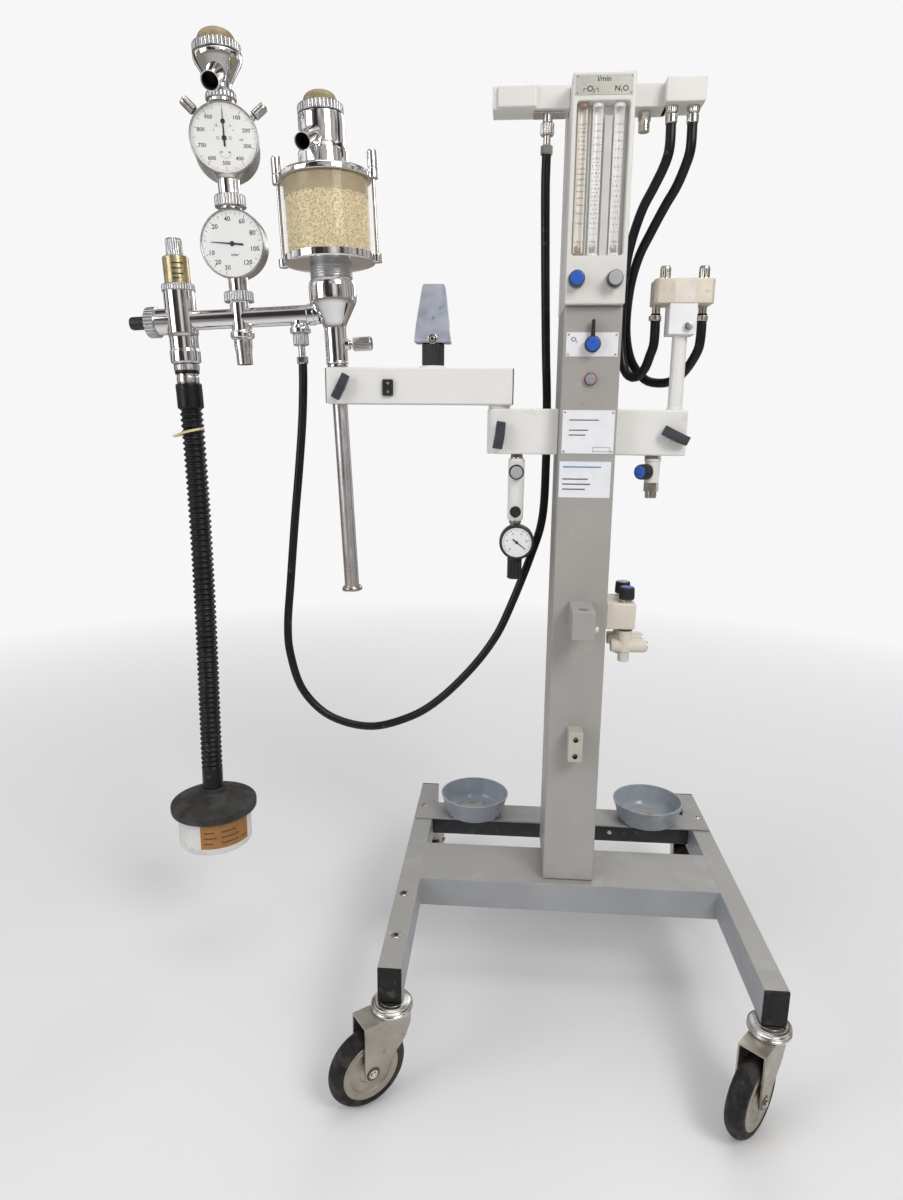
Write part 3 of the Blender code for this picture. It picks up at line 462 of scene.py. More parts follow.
def ramp(tree, value, *stops):
    """A colour for each value, through (position, colour) stops."""
    node = tree.nodes.new("ShaderNodeValToRGB")
    elements = node.color_ramp.elements
    for element, (position, colour) in zip(elements, (stops[0], stops[-1])):
        element.position, element.color = position, (*colour, 1)
    for position, colour in stops[1:-1]:
        elements.new(position).color = (*colour, 1)
    tree.links.new(value, node.inputs["Fac"])
    return node.outputs["Color"]


def finish(name, colour, roughness, metallic=0, shade=0.1, grain=45, marks=(), bump=0, bump_grain=900,
        rough_spread=0.25, stretch=None, dust=None, **sockets):
    """A material with uneven colour, gloss and relief; marks are (colour, grain, threshold, strength).

    dust is (colour, strength) for what lies on the faces that look up."""
    made = bpy.data.materials.new(name)
    made.use_nodes = True
    tree = made.node_tree
    shader = tree.nodes["Principled BSDF"]
    place = tree.nodes.new("ShaderNodeTexCoord").outputs["Object"]
    if stretch:
        place = add_node(tree, "Mapping", {"Scale": stretch, "Vector": place})

    def noise(scale):
        return add_node(tree, "TexNoise", {"Scale": scale, "Detail": 6, "Vector": place})

    def spread(value, low, high, to_low, to_high):
        return add_node(tree, "MapRange", {"From Min": low, "From Max": high, "To Min": to_low,
            "To Max": to_high, "Value": value})

    dark = [channel * (1 - shade) for channel in colour]
    light = [min(1, channel * (1 + shade)) for channel in colour]
    shown = mixed(tree, spread(noise(grain), 0.35, 0.65, 0, 1), dark, light)
    if dust:
        facing = tree.nodes.new("ShaderNodeSeparateXYZ")
        tree.links.new(tree.nodes.new("ShaderNodeNewGeometry").outputs["Normal"], facing.inputs[0])
        shown = mixed(tree, spread(facing.outputs["Z"], 0.6, 0.95, 0, dust[1]), shown, dust[0])
    for mark, mark_grain, threshold, strength in marks:
        shown = mixed(tree, spread(noise(mark_grain), threshold, threshold + 0.06, 0, strength), shown, mark)
    tree.links.new(shown, shader.inputs["Base Color"])
    gloss = spread(noise(grain * 2.3), 0.3, 0.7, roughness * (1 - rough_spread),
        min(1, roughness * (1 + rough_spread)))
    tree.links.new(gloss, shader.inputs["Roughness"])
    shader.inputs["Metallic"].default_value = metallic
    for socket, value in sockets.items():
        shader.inputs[socket.replace("_", " ").title().replace("Ior", "IOR")].default_value = value
    if bump:
        relief = add_node(tree, "Bump", {"Strength": bump, "Distance": 0.0006, "Height": noise(bump_grain)})
        tree.links.new(relief, shader.inputs["Normal"])
    return made



GRIME = (0.16, 0.12, 0.08)
FRAME_PAINT = finish("frame_paint", (0.33, 0.342, 0.36), 0.42, dust=((0.345, 0.325, 0.3), 0.75), shade=0.07,
    grain=9, bump=0.12, bump_grain=1400, marks=[((0.4, 0.4, 0.395), 14, 0.56, 0.5),
    ((0.17, 0.16, 0.15), 130, 0.7, 0.75), (GRIME, 420, 0.735, 0.8)])
COLUMN_PAINT = finish("column_paint", (0.392, 0.382, 0.368), 0.48, shade=0.04, grain=7, bump=0.1,
    bump_grain=1500, marks=[((0.45, 0.43, 0.41), 16, 0.6, 0.4), ((0.26, 0.24, 0.22), 60, 0.69, 0.35)])
CREAM_PAINT = finish("cream_paint", (0.84, 0.84, 0.822), 0.38, shade=0.03, grain=10, bump=0.08,
    bump_grain=1600, marks=[((0.62, 0.6, 0.53), 26, 0.64, 0.35), ((0.4, 0.37, 0.31), 150, 0.72, 0.35)])
VALVE_CREAM = finish("valve_cream", (0.75, 0.7, 0.61), 0.38, shade=0.04, grain=20, bump=0.06,
    marks=[((0.56, 0.5, 0.41), 60, 0.64, 0.4)])
HOUSING_PAINT = finish("housing_paint", (0.775, 0.768, 0.75), 0.36, shade=0.025, grain=8, bump=0.07,
    bump_grain=1600, marks=[((0.72, 0.69, 0.6), 18, 0.63, 0.4)])
CASTING = finish("bare_casting", (0.73, 0.66, 0.57), 0.42, metallic=0.15, shade=0.1, grain=30, bump=0.25,
    bump_grain=700, marks=[((0.55, 0.49, 0.41), 60, 0.6, 0.5)])
CASTING_LIGHT = finish("ground_casting", (0.81, 0.75, 0.68), 0.35, metallic=0.15, shade=0.06, grain=40,
    bump=0.12)
POST_PAINT = finish("post_paint", (0.82, 0.82, 0.81), 0.33, shade=0.04, grain=12,
    marks=[((0.58, 0.55, 0.48), 30, 0.62, 0.4)])
CHROME = finish("chrome", (0.82, 0.82, 0.83), 0.07, metallic=1, shade=0.05, grain=25, rough_spread=0.5,
    marks=[((0.6, 0.55, 0.47), 55, 0.66, 0.35)], bump=0.015, bump_grain=160)
FLUTED = finish("fluted_chrome", (0.5, 0.5, 0.51), 0.36, metallic=1, shade=0.06, grain=60, bump=0.03,
    marks=[((0.45, 0.43, 0.4), 90, 0.66, 0.4)])
DULL_CHROME = finish("dull_chrome", (0.66, 0.65, 0.63), 0.22, metallic=1, shade=0.08, grain=40, bump=0.05,
    marks=[((0.4, 0.36, 0.3), 90, 0.64, 0.4)])
NICKEL = finish("nickel", (0.65, 0.62, 0.57), 0.2, metallic=1, shade=0.1, grain=60, bump=0.05,
    marks=[((0.36, 0.31, 0.24), 120, 0.62, 0.5)])
ZINC = finish("zinc_plate", (0.43, 0.405, 0.35), 0.4, metallic=0.85, shade=0.12, grain=28, bump=0.15,
    bump_grain=500, marks=[((0.3, 0.25, 0.17), 70, 0.62, 0.55), ((0.1, 0.08, 0.06), 260, 0.7, 0.8)])
HUB_METAL = finish("hub_plate", (0.37, 0.34, 0.285), 0.45, metallic=0.55, shade=0.12, grain=35, bump=0.12,
    marks=[((0.34, 0.29, 0.2), 120, 0.62, 0.5), ((0.14, 0.11, 0.08), 330, 0.68, 0.7)])
GREASE = finish("grease", (0.05, 0.042, 0.032), 0.38, shade=0.4, grain=150, bump=0.5, bump_grain=600)
TYRE = finish("tyre_rubber", (0.013, 0.012, 0.012), 0.66, specular_ior_level=0.3, shade=0.25, grain=40,
    bump=0.25, bump_grain=800, marks=[((0.06, 0.055, 0.05), 26, 0.5, 0.5),
    ((0.12, 0.11, 0.09), 160, 0.66, 0.4)])
RUBBER = finish("hose_rubber", (0.008, 0.009, 0.012), 0.34, specular_ior_level=0.3, shade=0.25, grain=30,
    bump=0.1, bump_grain=900, marks=[((0.09, 0.09, 0.095), 45, 0.64, 0.5),
    ((0.22, 0.21, 0.2), 520, 0.74, 0.7)])
BLACK = finish("black_plastic", (0.02, 0.02, 0.023), 0.42, shade=0.2, grain=60, bump=0.15, bump_grain=1300,
    marks=[((0.07, 0.07, 0.075), 60, 0.62, 0.5)])
LEVER = finish("lever_plastic", (0.05, 0.054, 0.066), 0.4, shade=0.15, grain=70, bump=0.12, bump_grain=1500,
    marks=[((0.14, 0.14, 0.15), 110, 0.66, 0.5)])
CAP_BLACK = finish("leg_cap_plastic", (0.01, 0.01, 0.01), 0.5, specular_ior_level=0.3, shade=0.25, grain=50,
    bump=0.2, bump_grain=700, marks=[((0.11, 0.1, 0.09), 60, 0.6, 0.45)])
BLUE = finish("blue_plastic", (0.03, 0.115, 0.52), 0.3, shade=0.08, grain=90, bump=0.05, coat_weight=0.3)
PALE_GREY = finish("grey_plastic", (0.43, 0.43, 0.46), 0.38, shade=0.05, grain=90, bump=0.05)
BUTTON_GREY = finish("button_plastic", (0.3, 0.3, 0.34), 0.42, shade=0.06, grain=120, bump=0.06)
PINK_RING = finish("pink_ring", (0.46, 0.29, 0.31), 0.45, shade=0.1, grain=120, bump=0.06)
PADDLE = finish("cast_paddle", (0.45, 0.49, 0.58), 0.44, metallic=0.35, shade=0.18, grain=32, bump=0.35,
    bump_grain=190, marks=[((0.53, 0.55, 0.57), 42, 0.56, 0.6), ((0.2, 0.21, 0.23), 85, 0.64, 0.6)])
CLEAR = finish("clear_glass", (0.97, 0.97, 0.95), 0.04, shade=0.02, alpha=0.05, ior=1.5)
PANE = finish("window_pane", (0.98, 0.98, 0.97), 0.03, shade=0.01, alpha=0.05, ior=1.3)
GOLD_GLASS = finish("gold_glass", (0.36, 0.3, 0.17), 0.16, shade=0.2, grain=90, transmission_weight=0.1,
    ior=1.3, marks=[((0.5, 0.38, 0.18), 60, 0.6, 0.5)])
BRASS = finish("lacquered_brass", (0.46, 0.38, 0.22), 0.24, metallic=0.6, shade=0.12, grain=60,
    marks=[((0.34, 0.24, 0.1), 90, 0.62, 0.6)])
DIAL = finish("dial_white", (0.86, 0.87, 0.87), 0.45, shade=0.02, grain=20)
WHITE_PLATE = finish("white_plate", (0.87, 0.89, 0.93), 0.4, shade=0.03, grain=30, bump=0.04,
    marks=[((0.62, 0.61, 0.58), 50, 0.66, 0.4)])
STICKER = finish("sticker_white", (0.87, 0.89, 0.93), 0.3, shade=0.02, grain=25)
HEADER = finish("header_plate", (0.6, 0.6, 0.55), 0.34, metallic=0.5, shade=0.06, grain=40, bump=0.05,
    stretch=(1, 1, 12))
INK = finish("black_print", (0.03, 0.03, 0.032), 0.5, shade=0.15, grain=200)
FAINT_INK = finish("grey_print", (0.12, 0.12, 0.13), 0.5, shade=0.15, grain=200)
SCALE_BACK = finish("scale_back", (0.86, 0.86, 0.84), 0.4, shade=0.03, grain=20)
OLD_TUBE = finish("yellowed_tube", (0.9, 0.86, 0.78), 0.16, shade=0.05, grain=30, coat_weight=0.4,
    marks=[((0.55, 0.42, 0.24), 60, 0.66, 0.7)])
NEW_TUBE = finish("white_tube", (0.93, 0.93, 0.92), 0.14, shade=0.03, grain=30, coat_weight=0.4)
BROWN_SPOT = finish("brown_spot", (0.28, 0.15, 0.06), 0.5, shade=0.4, grain=300)
LIME = finish("soda_lime", (0.97, 0.83, 0.6), 0.85, shade=0.22, grain=180, bump=0.3, bump_grain=1500,
    marks=[((0.93, 0.83, 0.64), 260, 0.56, 0.7)])
# A darker lime for the core behind the pellets: painted shade in the gaps between granules.
LIME_CORE_SHADE = finish("soda_lime_shade", (0.68, 0.51, 0.3), 0.95, shade=0.3, grain=300, bump=0.5)
FILTER_WHITE = finish("filter_white", (0.74, 0.735, 0.71), 0.42, shade=0.05, grain=25, bump=0.06,
    marks=[((0.52, 0.5, 0.46), 35, 0.6, 0.4)])
LABEL = finish("paper_label", (0.37, 0.175, 0.05), 0.6, shade=0.08, grain=60, bump=0.1,
    marks=[((0.38, 0.22, 0.09), 70, 0.6, 0.5)])
LABEL_INK = finish("label_ink", (0.13, 0.06, 0.02), 0.6, shade=0.1, grain=200)
LID_RUBBER = finish("lid_rubber", (0.026, 0.025, 0.024), 0.62, shade=0.3, grain=35, bump=0.2,
    marks=[((0.07, 0.065, 0.06), 40, 0.52, 0.5), ((0.16, 0.15, 0.13), 200, 0.7, 0.4)])
TIE = finish("yellowed_tie", (0.72, 0.6, 0.36), 0.5, shade=0.1, grain=150)
# Near-black painted shade, put inside holes, bores and screw slots where the real thing is dark only from
# shade.
PAINTED_HOLE_SHADE = finish("painted_hole_shade", (0.012, 0.012, 0.012), 0.6, shade=0.3, grain=100)
RIM_GREY = finish("instrument_grey", (0.46, 0.45, 0.44), 0.28, metallic=0.85, shade=0.05, grain=40)
BLUE_PRINT = finish("blue_print", (0.1, 0.24, 0.55), 0.4, shade=0.1, grain=100)


# ---------------------------------------------------------------- camera, light and floor

def camera():
    pitch, yaw, roll = 0.217736, 0.07192, 0.009236
    forward = Vector((-math.sin(yaw) * math.cos(pitch), math.cos(yaw) * math.cos(pitch), -math.sin(pitch)))
    right = Vector((math.cos(yaw), math.sin(yaw), 0))
    up = right.cross(forward)
    tilted_right = math.cos(roll) * right + math.sin(roll) * up
    tilted_up = math.cos(roll) * up - math.sin(roll) * right
    lens = bpy.data.cameras.new("camera")
    lens.lens = 23.265
    lens.sensor_width = 36
    lens.clip_end = 60
    eye = bpy.data.objects.new("camera", lens)
    bpy.context.scene.collection.objects.link(eye)
    facing = Matrix((tilted_right, tilted_up, -forward)).transposed().to_4x4()
    eye.matrix_world = Matrix.Translation(STAND @ Vector((-121.7, -1304.1, 1003.9))) @ facing
    bpy.context.scene.camera = eye


def lamp(name, place, target, size, power, colour=(1, 1, 1)):
    light = bpy.data.lights.new(name, "AREA")
    light.shape = "RECTANGLE"
    light.size, light.size_y = size
    light.energy = power
    light.color = colour
    thing = bpy.data.objects.new(name, light)
    thing.location = place
    thing.rotation_mode = "QUATERNION"
    thing.rotation_quaternion = (Vector(target) - Vector(place)).to_track_quat("-Z", "Y")
    bpy.context.scene.collection.objects.link(thing)


def surroundings():
    """A pale floor that fades into a plain pale world, and soft lights."""
    pale = (0.93, 0.93, 0.93)
    world = bpy.data.worlds.new("pale world")
    world.use_nodes = True
    tree = world.node_tree
    way = tree.nodes.new("ShaderNodeTexCoord").outputs["Generated"]
    parts = tree.nodes.new("ShaderNodeSeparateXYZ")
    tree.links.new(way, parts.inputs[0])
    height = add_node(tree, "MapRange", {"From Min": -1, "Value": parts.outputs["Z"]})
    sky = ramp(tree, height, (0, (0.62, 0.61, 0.59)), (0.46, (0.52, 0.5, 0.47)), (0.52, (0.3, 0.27, 0.24)),
        (0.64, (0.34, 0.32, 0.3)), (0.74, (0.52, 0.52, 0.53)), (1, (0.46, 0.47, 0.49)))
    stretch = add_node(tree, "Mapping", {"Scale": (2.6, 2.6, 0.9), "Vector": way})
    room = add_node(tree, "TexNoise", {"Scale": 1, "Detail": 1.5, "Vector": stretch})
    walls = ramp(tree, room, (0.4, (0.035, 0.033, 0.04)), (0.47, (0.12, 0.095, 0.085)),
        (0.53, (0.33, 0.3, 0.27)), (0.6, (0.52, 0.51, 0.5)), (0.66, (1, 0.99, 0.96)))
    seen = tree.nodes.new("ShaderNodeLightPath").outputs
    mirrored = mixed(tree, seen["Is Glossy Ray"], sky, walls)
    tree.links.new(mixed(tree, seen["Is Camera Ray"], mirrored, pale),
        tree.nodes["Background"].inputs["Color"])
    bpy.context.scene.world = world

    mesh = bpy.data.meshes.new("floor")
    mesh.from_pydata([(-9, -9, 0), (9, -9, 0), (9, 9, 0), (-9, 9, 0)], [], [(0, 1, 2, 3)])
    floor = bpy.data.objects.new("floor", mesh)
    bpy.context.scene.collection.objects.link(floor)
    look = bpy.data.materials.new("floor")
    look.use_nodes = True
    tree = look.node_tree
    shader = tree.nodes["Principled BSDF"]
    shader.inputs["Base Color"].default_value = (0.82, 0.82, 0.82, 1)
    shader.inputs["Roughness"].default_value = 0.9
    in_view = tree.nodes.new("ShaderNodeLightPath").outputs["Is Camera Ray"]
    glow = add_node(tree, "Emission", {"Color": mixed(tree, in_view, (0.26, 0.23, 0.2), pale)})
    reach = tree.nodes.new("ShaderNodeVectorMath")
    reach.operation = "LENGTH"
    tree.links.new(tree.nodes.new("ShaderNodeTexCoord").outputs["Object"], reach.inputs[0])
    far = add_node(tree, "MapRange", {"From Min": 0.9, "From Max": 3.2, "Value": reach.outputs["Value"]})
    fade = add_node(tree, "MixShader", {0: far, 1: shader.outputs["BSDF"], 2: glow})
    tree.links.new(fade, tree.nodes["Material Output"].inputs["Surface"])
    mesh.materials.append(look)

    lamp("key", (1.5, -1.9, 2.5), (0, 0, 0.9), (1.1, 1.1), 36, (1, 0.98, 0.95))
    lamp("fill", (-2, -1.6, 1.6), (-0.1, 0, 0.9), (1.2, 1.6), 19, (0.95, 0.97, 1))
    lamp("top", (0, -0.2, 3.1), (0, 0, 0.8), (1.6, 1.2), 11)
    lamp("back", (0.8, 2.2, 2.2), (0, 0, 0.8), (1.4, 1.2), 12)
    bpy.context.scene.view_settings.view_transform = "Standard"


camera()
surroundings()


# ---------------------------------------------------------------- hoses
# Routes are written as "x,y,z" points.

FRESH_GAS_RADIUS = 7
MANIFOLD_HOSE_RADIUS = 7.5
FRESH_GAS_ROUTE = (
    "-77,4,1412 -77,6,1370 -74,15,1290 -70,26,1200 -66,36,1120 -62,40,1050 -60,40,955 -63,37,856 "
    "-82,30,787 -114,24,700 -139,21,645 -178,16,590 -234,11,532 -288,8,496 -361,4,476 -434,2,494 "
    "-482,1,542 -502,0,607 -505,0,662 -497,0,743 -486,0,848 -476,0,933 -468,0,1010 -464.4,0,1069 "
    "-463.6,0,1104.8")
ARM_TAKES_OVER = Vector((-361, 4, 476))
COLLAR_TAKES_OVER = Vector((-502, 0, 607))

LEFT_MANIFOLD_ROUTE = (
    "104.5,-10,1452.5 104.5,-10,1414 100,2,1393 89,21,1368 77,37,1343 66,50,1305 59,56,1265 "
    "56,58,1210 57,56,1145 64,48,1102 78,34,1088 92,22,1100 99,15,1122 103,10,1140 103,10,1183.2")

RIGHT_MANIFOLD_ROUTE = (
    "135.5,-10,1452.5 135.5,-10,1414 132,2,1394 124,20,1370 112,36,1348 96,54,1315 80,70,1278 "
    "70,80,1230 68,83,1167 78,78,1119 99,68,1089 119,58,1081 140,46,1083 158,33,1097 172,16,1125 "
    "175,10,1145 175,10,1183.2")

BREATHING_HOSE_ROUTE = [(-658.5, 0, 1072.7), (-657, 0, 1040), (-654.5, 0, 960), (-653, 0, 860),
    (-653, 0, 750), (-654, 0, 640), (-656, 0, 530), (-658, 0, 430), (FILTER_X, 0, 349)]


def in_frame(points):
    return [STAND @ Vector(point) for point in points]


def plain_hose(name, points, radius, bodies, nodes=()):
    """A smooth rubber hose along points; given two bodies, it is attached to neither."""
    whole = Piece(name, None if len(bodies) > 1 else bodies[0], "hose_rubber", nodes)
    tube = whole.add(RUBBER, swept(points, lambda gone, length: radius)).made()
    path = in_frame(points)
    if len(bodies) > 1:
        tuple(path[0])
        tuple(path[-1])
        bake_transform(tube)
    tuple(path[0])
    path_length(path)
    return tube


def fresh_gas_hose():
    """One hose made as three lengths, split at the points nearest where the arm and the collar take over."""
    points = smooth_points(FRESH_GAS_ROUTE, 8)
    first = min(range(len(points)), key=lambda i: (points[i] - ARM_TAKES_OVER).length)
    second = min(range(len(points)), key=lambda i: (points[i] - COLLAR_TAKES_OVER).length)
    plain_hose("fresh_gas_hose_column_side", points[:first + 1], FRESH_GAS_RADIUS, ("stand", "swing_arm"),
        ["fresh_gas_hose"])
    plain_hose("fresh_gas_hose_loop", points[first:second + 1], FRESH_GAS_RADIUS,
        ("swing_arm", "post_collar"))
    plain_hose("fresh_gas_hose_absorber_side", points[second:], FRESH_GAS_RADIUS, ("post_collar", "absorber"))


CUFF_LENGTH = 40
RIB_PITCH = 9.5


def corrugated_radius(gone, length):
    """A swollen smooth cuff, corrugations and a second smooth cuff."""
    if gone < 1:
        return 19.5
    if gone < CUFF_LENGTH:
        return 21.2
    if gone > length - CUFF_LENGTH:
        return 18.4
    return 17.1 + 1.8 * math.cos(2 * math.pi * (gone - CUFF_LENGTH) / RIB_PITCH)


def breathing_hose(canister):
    points = smooth_points(BREATHING_HOSE_ROUTE, 1.45)
    tube = Piece("breathing_hose", "absorber", "hose_rubber", ["corrugated_hose"])
    tube.add(RUBBER, swept(points, corrugated_radius, 40))
    path = in_frame(points)
    ties = Piece("hose_tie", "absorber", "hose_rubber")
    middle = Vector((-657.3, 0, 995))
    ties.turn(TIE, "18.8,-2 20.6,-2 20.6,2 18.8,2", middle, (-0.24, 0, 1), ring=True, soft=0.3)
    ties.block(TIE, middle + Vector((-33, -6, -2.2)), middle + Vector((-17, 6, 2.2)), 1,
        by=turn_about(middle, "Y", -14))
    tie = ties.made()
    hose = tube.made(60)
    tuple(path[0])
    path_length(path)


def filter_canister():
    can = Piece("filter_canister_case", "absorber", "filter_plastic", ["filter_canister"])
    can.turn(FILTER_WHITE, "60,240.5 64.5,242 66,245 66,304 60,306", (FILTER_X, 0, 0), sides=72, soft=1.2)
    can.turn(LID_RUBBER, "70,304.5 75.5,304.2 77.5,307.5 77.5,319 75,321.5 60,329 40,334.5 28,337.5 24.5,340 "
        "23.2,348.7", (FILTER_X, 0, 0), sides=72, soft=2.5)
    can.turn(LID_RUBBER, "23.2,344 24.6,344.5 24.6,346.5 23.2,347", (FILTER_X, 0, 0), ring=True, soft=0.4)
    can.add(LABEL, curved_label((FILTER_X, 0, 254.5), 66.2, 48, -92, -10))
    for row, (start, end) in enumerate(((-87, -73), (-87, -67), (-87, -70), (-60, -32), (-60, -30),
            (-60, -36), (-26, -16))):
        can.add(LABEL_INK, curved_label((FILTER_X, 0, 263.5 + (row % 3) * 10.5), 66.4, 2.6, start, end))
    return can.made()


def curved_label(base, radius, height, start, end):
    """A thin sheet wrapped round an upright cylinder between two angles from +X, in degrees."""
    shape = bmesh.new()
    steps = max(2, int(abs(end - start) / 4))
    columns = []
    for step in range(steps + 1):
        angle = math.radians(start + (end - start) * step / steps)
        way = Vector((math.cos(angle), math.sin(angle), 0))
        columns.append([shape.verts.new(Vector(base) + way * reach + Z_AXIS * z) for reach,
            z in ((radius - 0.6, 0), (radius, 0), (radius, height), (radius - 0.6, height))])
    return bridged(shape, columns)


for hose_side, hose_route in (("left", LEFT_MANIFOLD_ROUTE), ("right", RIGHT_MANIFOLD_ROUTE)):
    plain_hose(f"manifold_hose_{hose_side}_tube", smooth_points(hose_route, 7), MANIFOLD_HOSE_RADIUS,
        ["stand"], [f"manifold_hose_{hose_side}"])
fresh_gas_hose()
breathing_hose(filter_canister())


# ---------------------------------------------------------------- small repeated parts

def screw(piece, place, way=FORWARD, radius=2.8, look=DULL_CHROME):
    """A cheese-head screw, its slot drawn as a near-black bar of painted shade."""
    place, way = Vector(place), Vector(way).normalized()
    piece.turn(look, [(radius, -0.5), (radius, 1), (radius * 0.8, 1.6), (radius * 0.3, 1.8)], place, way, 24,
        soft=0.3)
    # The slot is a dark bar laid over the head, painted shade in place of a cut.
    slot = block((-radius * 0.75, -0.3, 1.3), (radius * 0.75, 0.3, 2), 0)
    aim = Z_AXIS.rotation_difference(way).to_matrix().to_4x4()
    piece.add(PAINTED_HOLE_SHADE, slot, by=Matrix.Translation(place) @ aim @ Matrix.Rotation(0.5, 4, "Z"))


def fluted_knob(piece, look, base, way, radius, height, cap=None, flutes=18, depth=0.7):
    """A fluted knob with a skirt and a coloured cap set into its end."""
    piece.turn(look, [(radius * 0.92, 0), (radius, height * 0.08), (radius, height * 0.16, depth),
        (radius * 0.96, height * 0.88, depth), (radius * 0.88, height, 0)], base, way, flutes=flutes,
        soft=0.7)
    if cap:
        top = Vector(base) + Vector(way).normalized() * height
        piece.turn(cap, [(radius * 0.8, -1), (radius * 0.8, 0.2), (radius * 0.74, 1), (radius * 0.3, 1.2)],
            top, way, 40, soft=0.4)


def ticks(piece, centre, radius, angles, length, width, look=INK):
    """Marks round a dial that faces the front, at clockwise angles from the top."""
    x, y, z = centre
    for angle in angles:
        mark = block((x - width / 2, y - 0.1, z + radius - length), (x + width / 2, y + 0.3, z + radius), 0)
        piece.add(look, mark, by=turn_about(centre, "Y", angle))


def dial_number(piece, centre, radius, angle, text, height, look=INK):
    x, y, z = centre
    turn = math.radians(angle)
    piece.add(look, lettering(text, height, facing_front(x + radius * math.sin(turn), y, z
        + radius * math.cos(turn))))


def nozzle(piece, root, mouth, radius):
    """An open tapered nozzle, its bore lined with painted shade."""
    root, mouth = Vector(root), Vector(mouth)
    way = (mouth - root).normalized()
    length = (mouth - root).length
    bore = radius - 1.8
    piece.turn(CHROME, [(radius + 1.4, 0), (radius, length), (bore, length), (bore, length - 30),
        (1, length - 30)], root, way, 48, soft=0.5)
    # Painted shade: a near-black lining and a near-black disc down inside the bore.
    piece.turn(PAINTED_HOLE_SHADE, [(bore - 0.1, length - 1.2), (bore - 0.6, length - 1.2), (bore - 0.6, length - 29),
        (bore - 0.1, length - 29)], root, way, 40, ring=True, soft=0.1)
    piece.rod(PAINTED_HOLE_SHADE, root + way * (length - 29.9), root + way * (length - 28.5), bore - 0.2)


# ---------------------------------------------------------------- base, casters and shelf

def base():
    base_piece = looks("base_frame", "blue_grey_paint")
    caps = Piece("leg_end_caps", "stand", "black_plastic")
    for side in (-1, 1):
        low, high = sorted((side * BASE_HALF_WIDTH, side * (BASE_HALF_WIDTH - LEG_WIDTH)))
        base_piece.block(FRAME_PAINT, (low, LEG_FRONT + CAP_DEPTH, LEG_BOTTOM),
            (high, LEG_BACK - CAP_DEPTH, FRAME_TOP), 2.2)
        for front, back in ((LEG_FRONT, LEG_FRONT + CAP_DEPTH + 1), (LEG_BACK - CAP_DEPTH - 1, LEG_BACK)):
            caps.block(CAP_BLACK, (low + 0.4, front, LEG_BOTTOM + 0.4), (high - 0.4, back, FRAME_TOP - 0.4),
                1.2)
        inner = side * (BASE_HALF_WIDTH - LEG_WIDTH)
        for y in (-61, 61):
            base_piece.rod(FRAME_PAINT, (inner, y, 166), (inner, y, 215), 1.6, 12)
    crossbar = block((-265, -61, 163.3), (265, 61, FRAME_TOP - 0.4), 2)
    base_piece.add(FRAME_PAINT, crossbar)
    base_piece.made()
    caps.made()
    plugs = Piece("leg_grommets", "stand", "zinc_steel")
    for x, y in ((-285.3, -112), (-282.8, -226)):
        plugs.turn(DULL_CHROME, "8,-0.5 8.4,0.6 6.8,1.5 4,1.3", (x, y, FRAME_TOP - 0.2), sides=32, soft=0.3)
        # Painted shade: a near-black disc in each grommet's hole.
        plugs.rod(PAINTED_HOLE_SHADE, (x, y, FRAME_TOP), (x, y, FRAME_TOP + 1.4), 4)
    plugs.made()


def fork_channel(half, outline, low, high):
    """A prism with a rounded leading edge, for the outside and the inside of a pressed fork."""
    shape = extruded([(x, -half, z) for x, z in outline], (0, 2 * half, 0))

    def leading(edge):
        first, second = (vertex.co for vertex in edge.verts)
        return (abs(first.y - second.y) < 0.001 and abs(first.z - second.z) > 2
            and low <= min(first.x, second.x) and max(first.x, second.x) <= high)

    return rounded(shape, [edge for edge in shape.edges if leading(edge)], half * 0.62, 6)


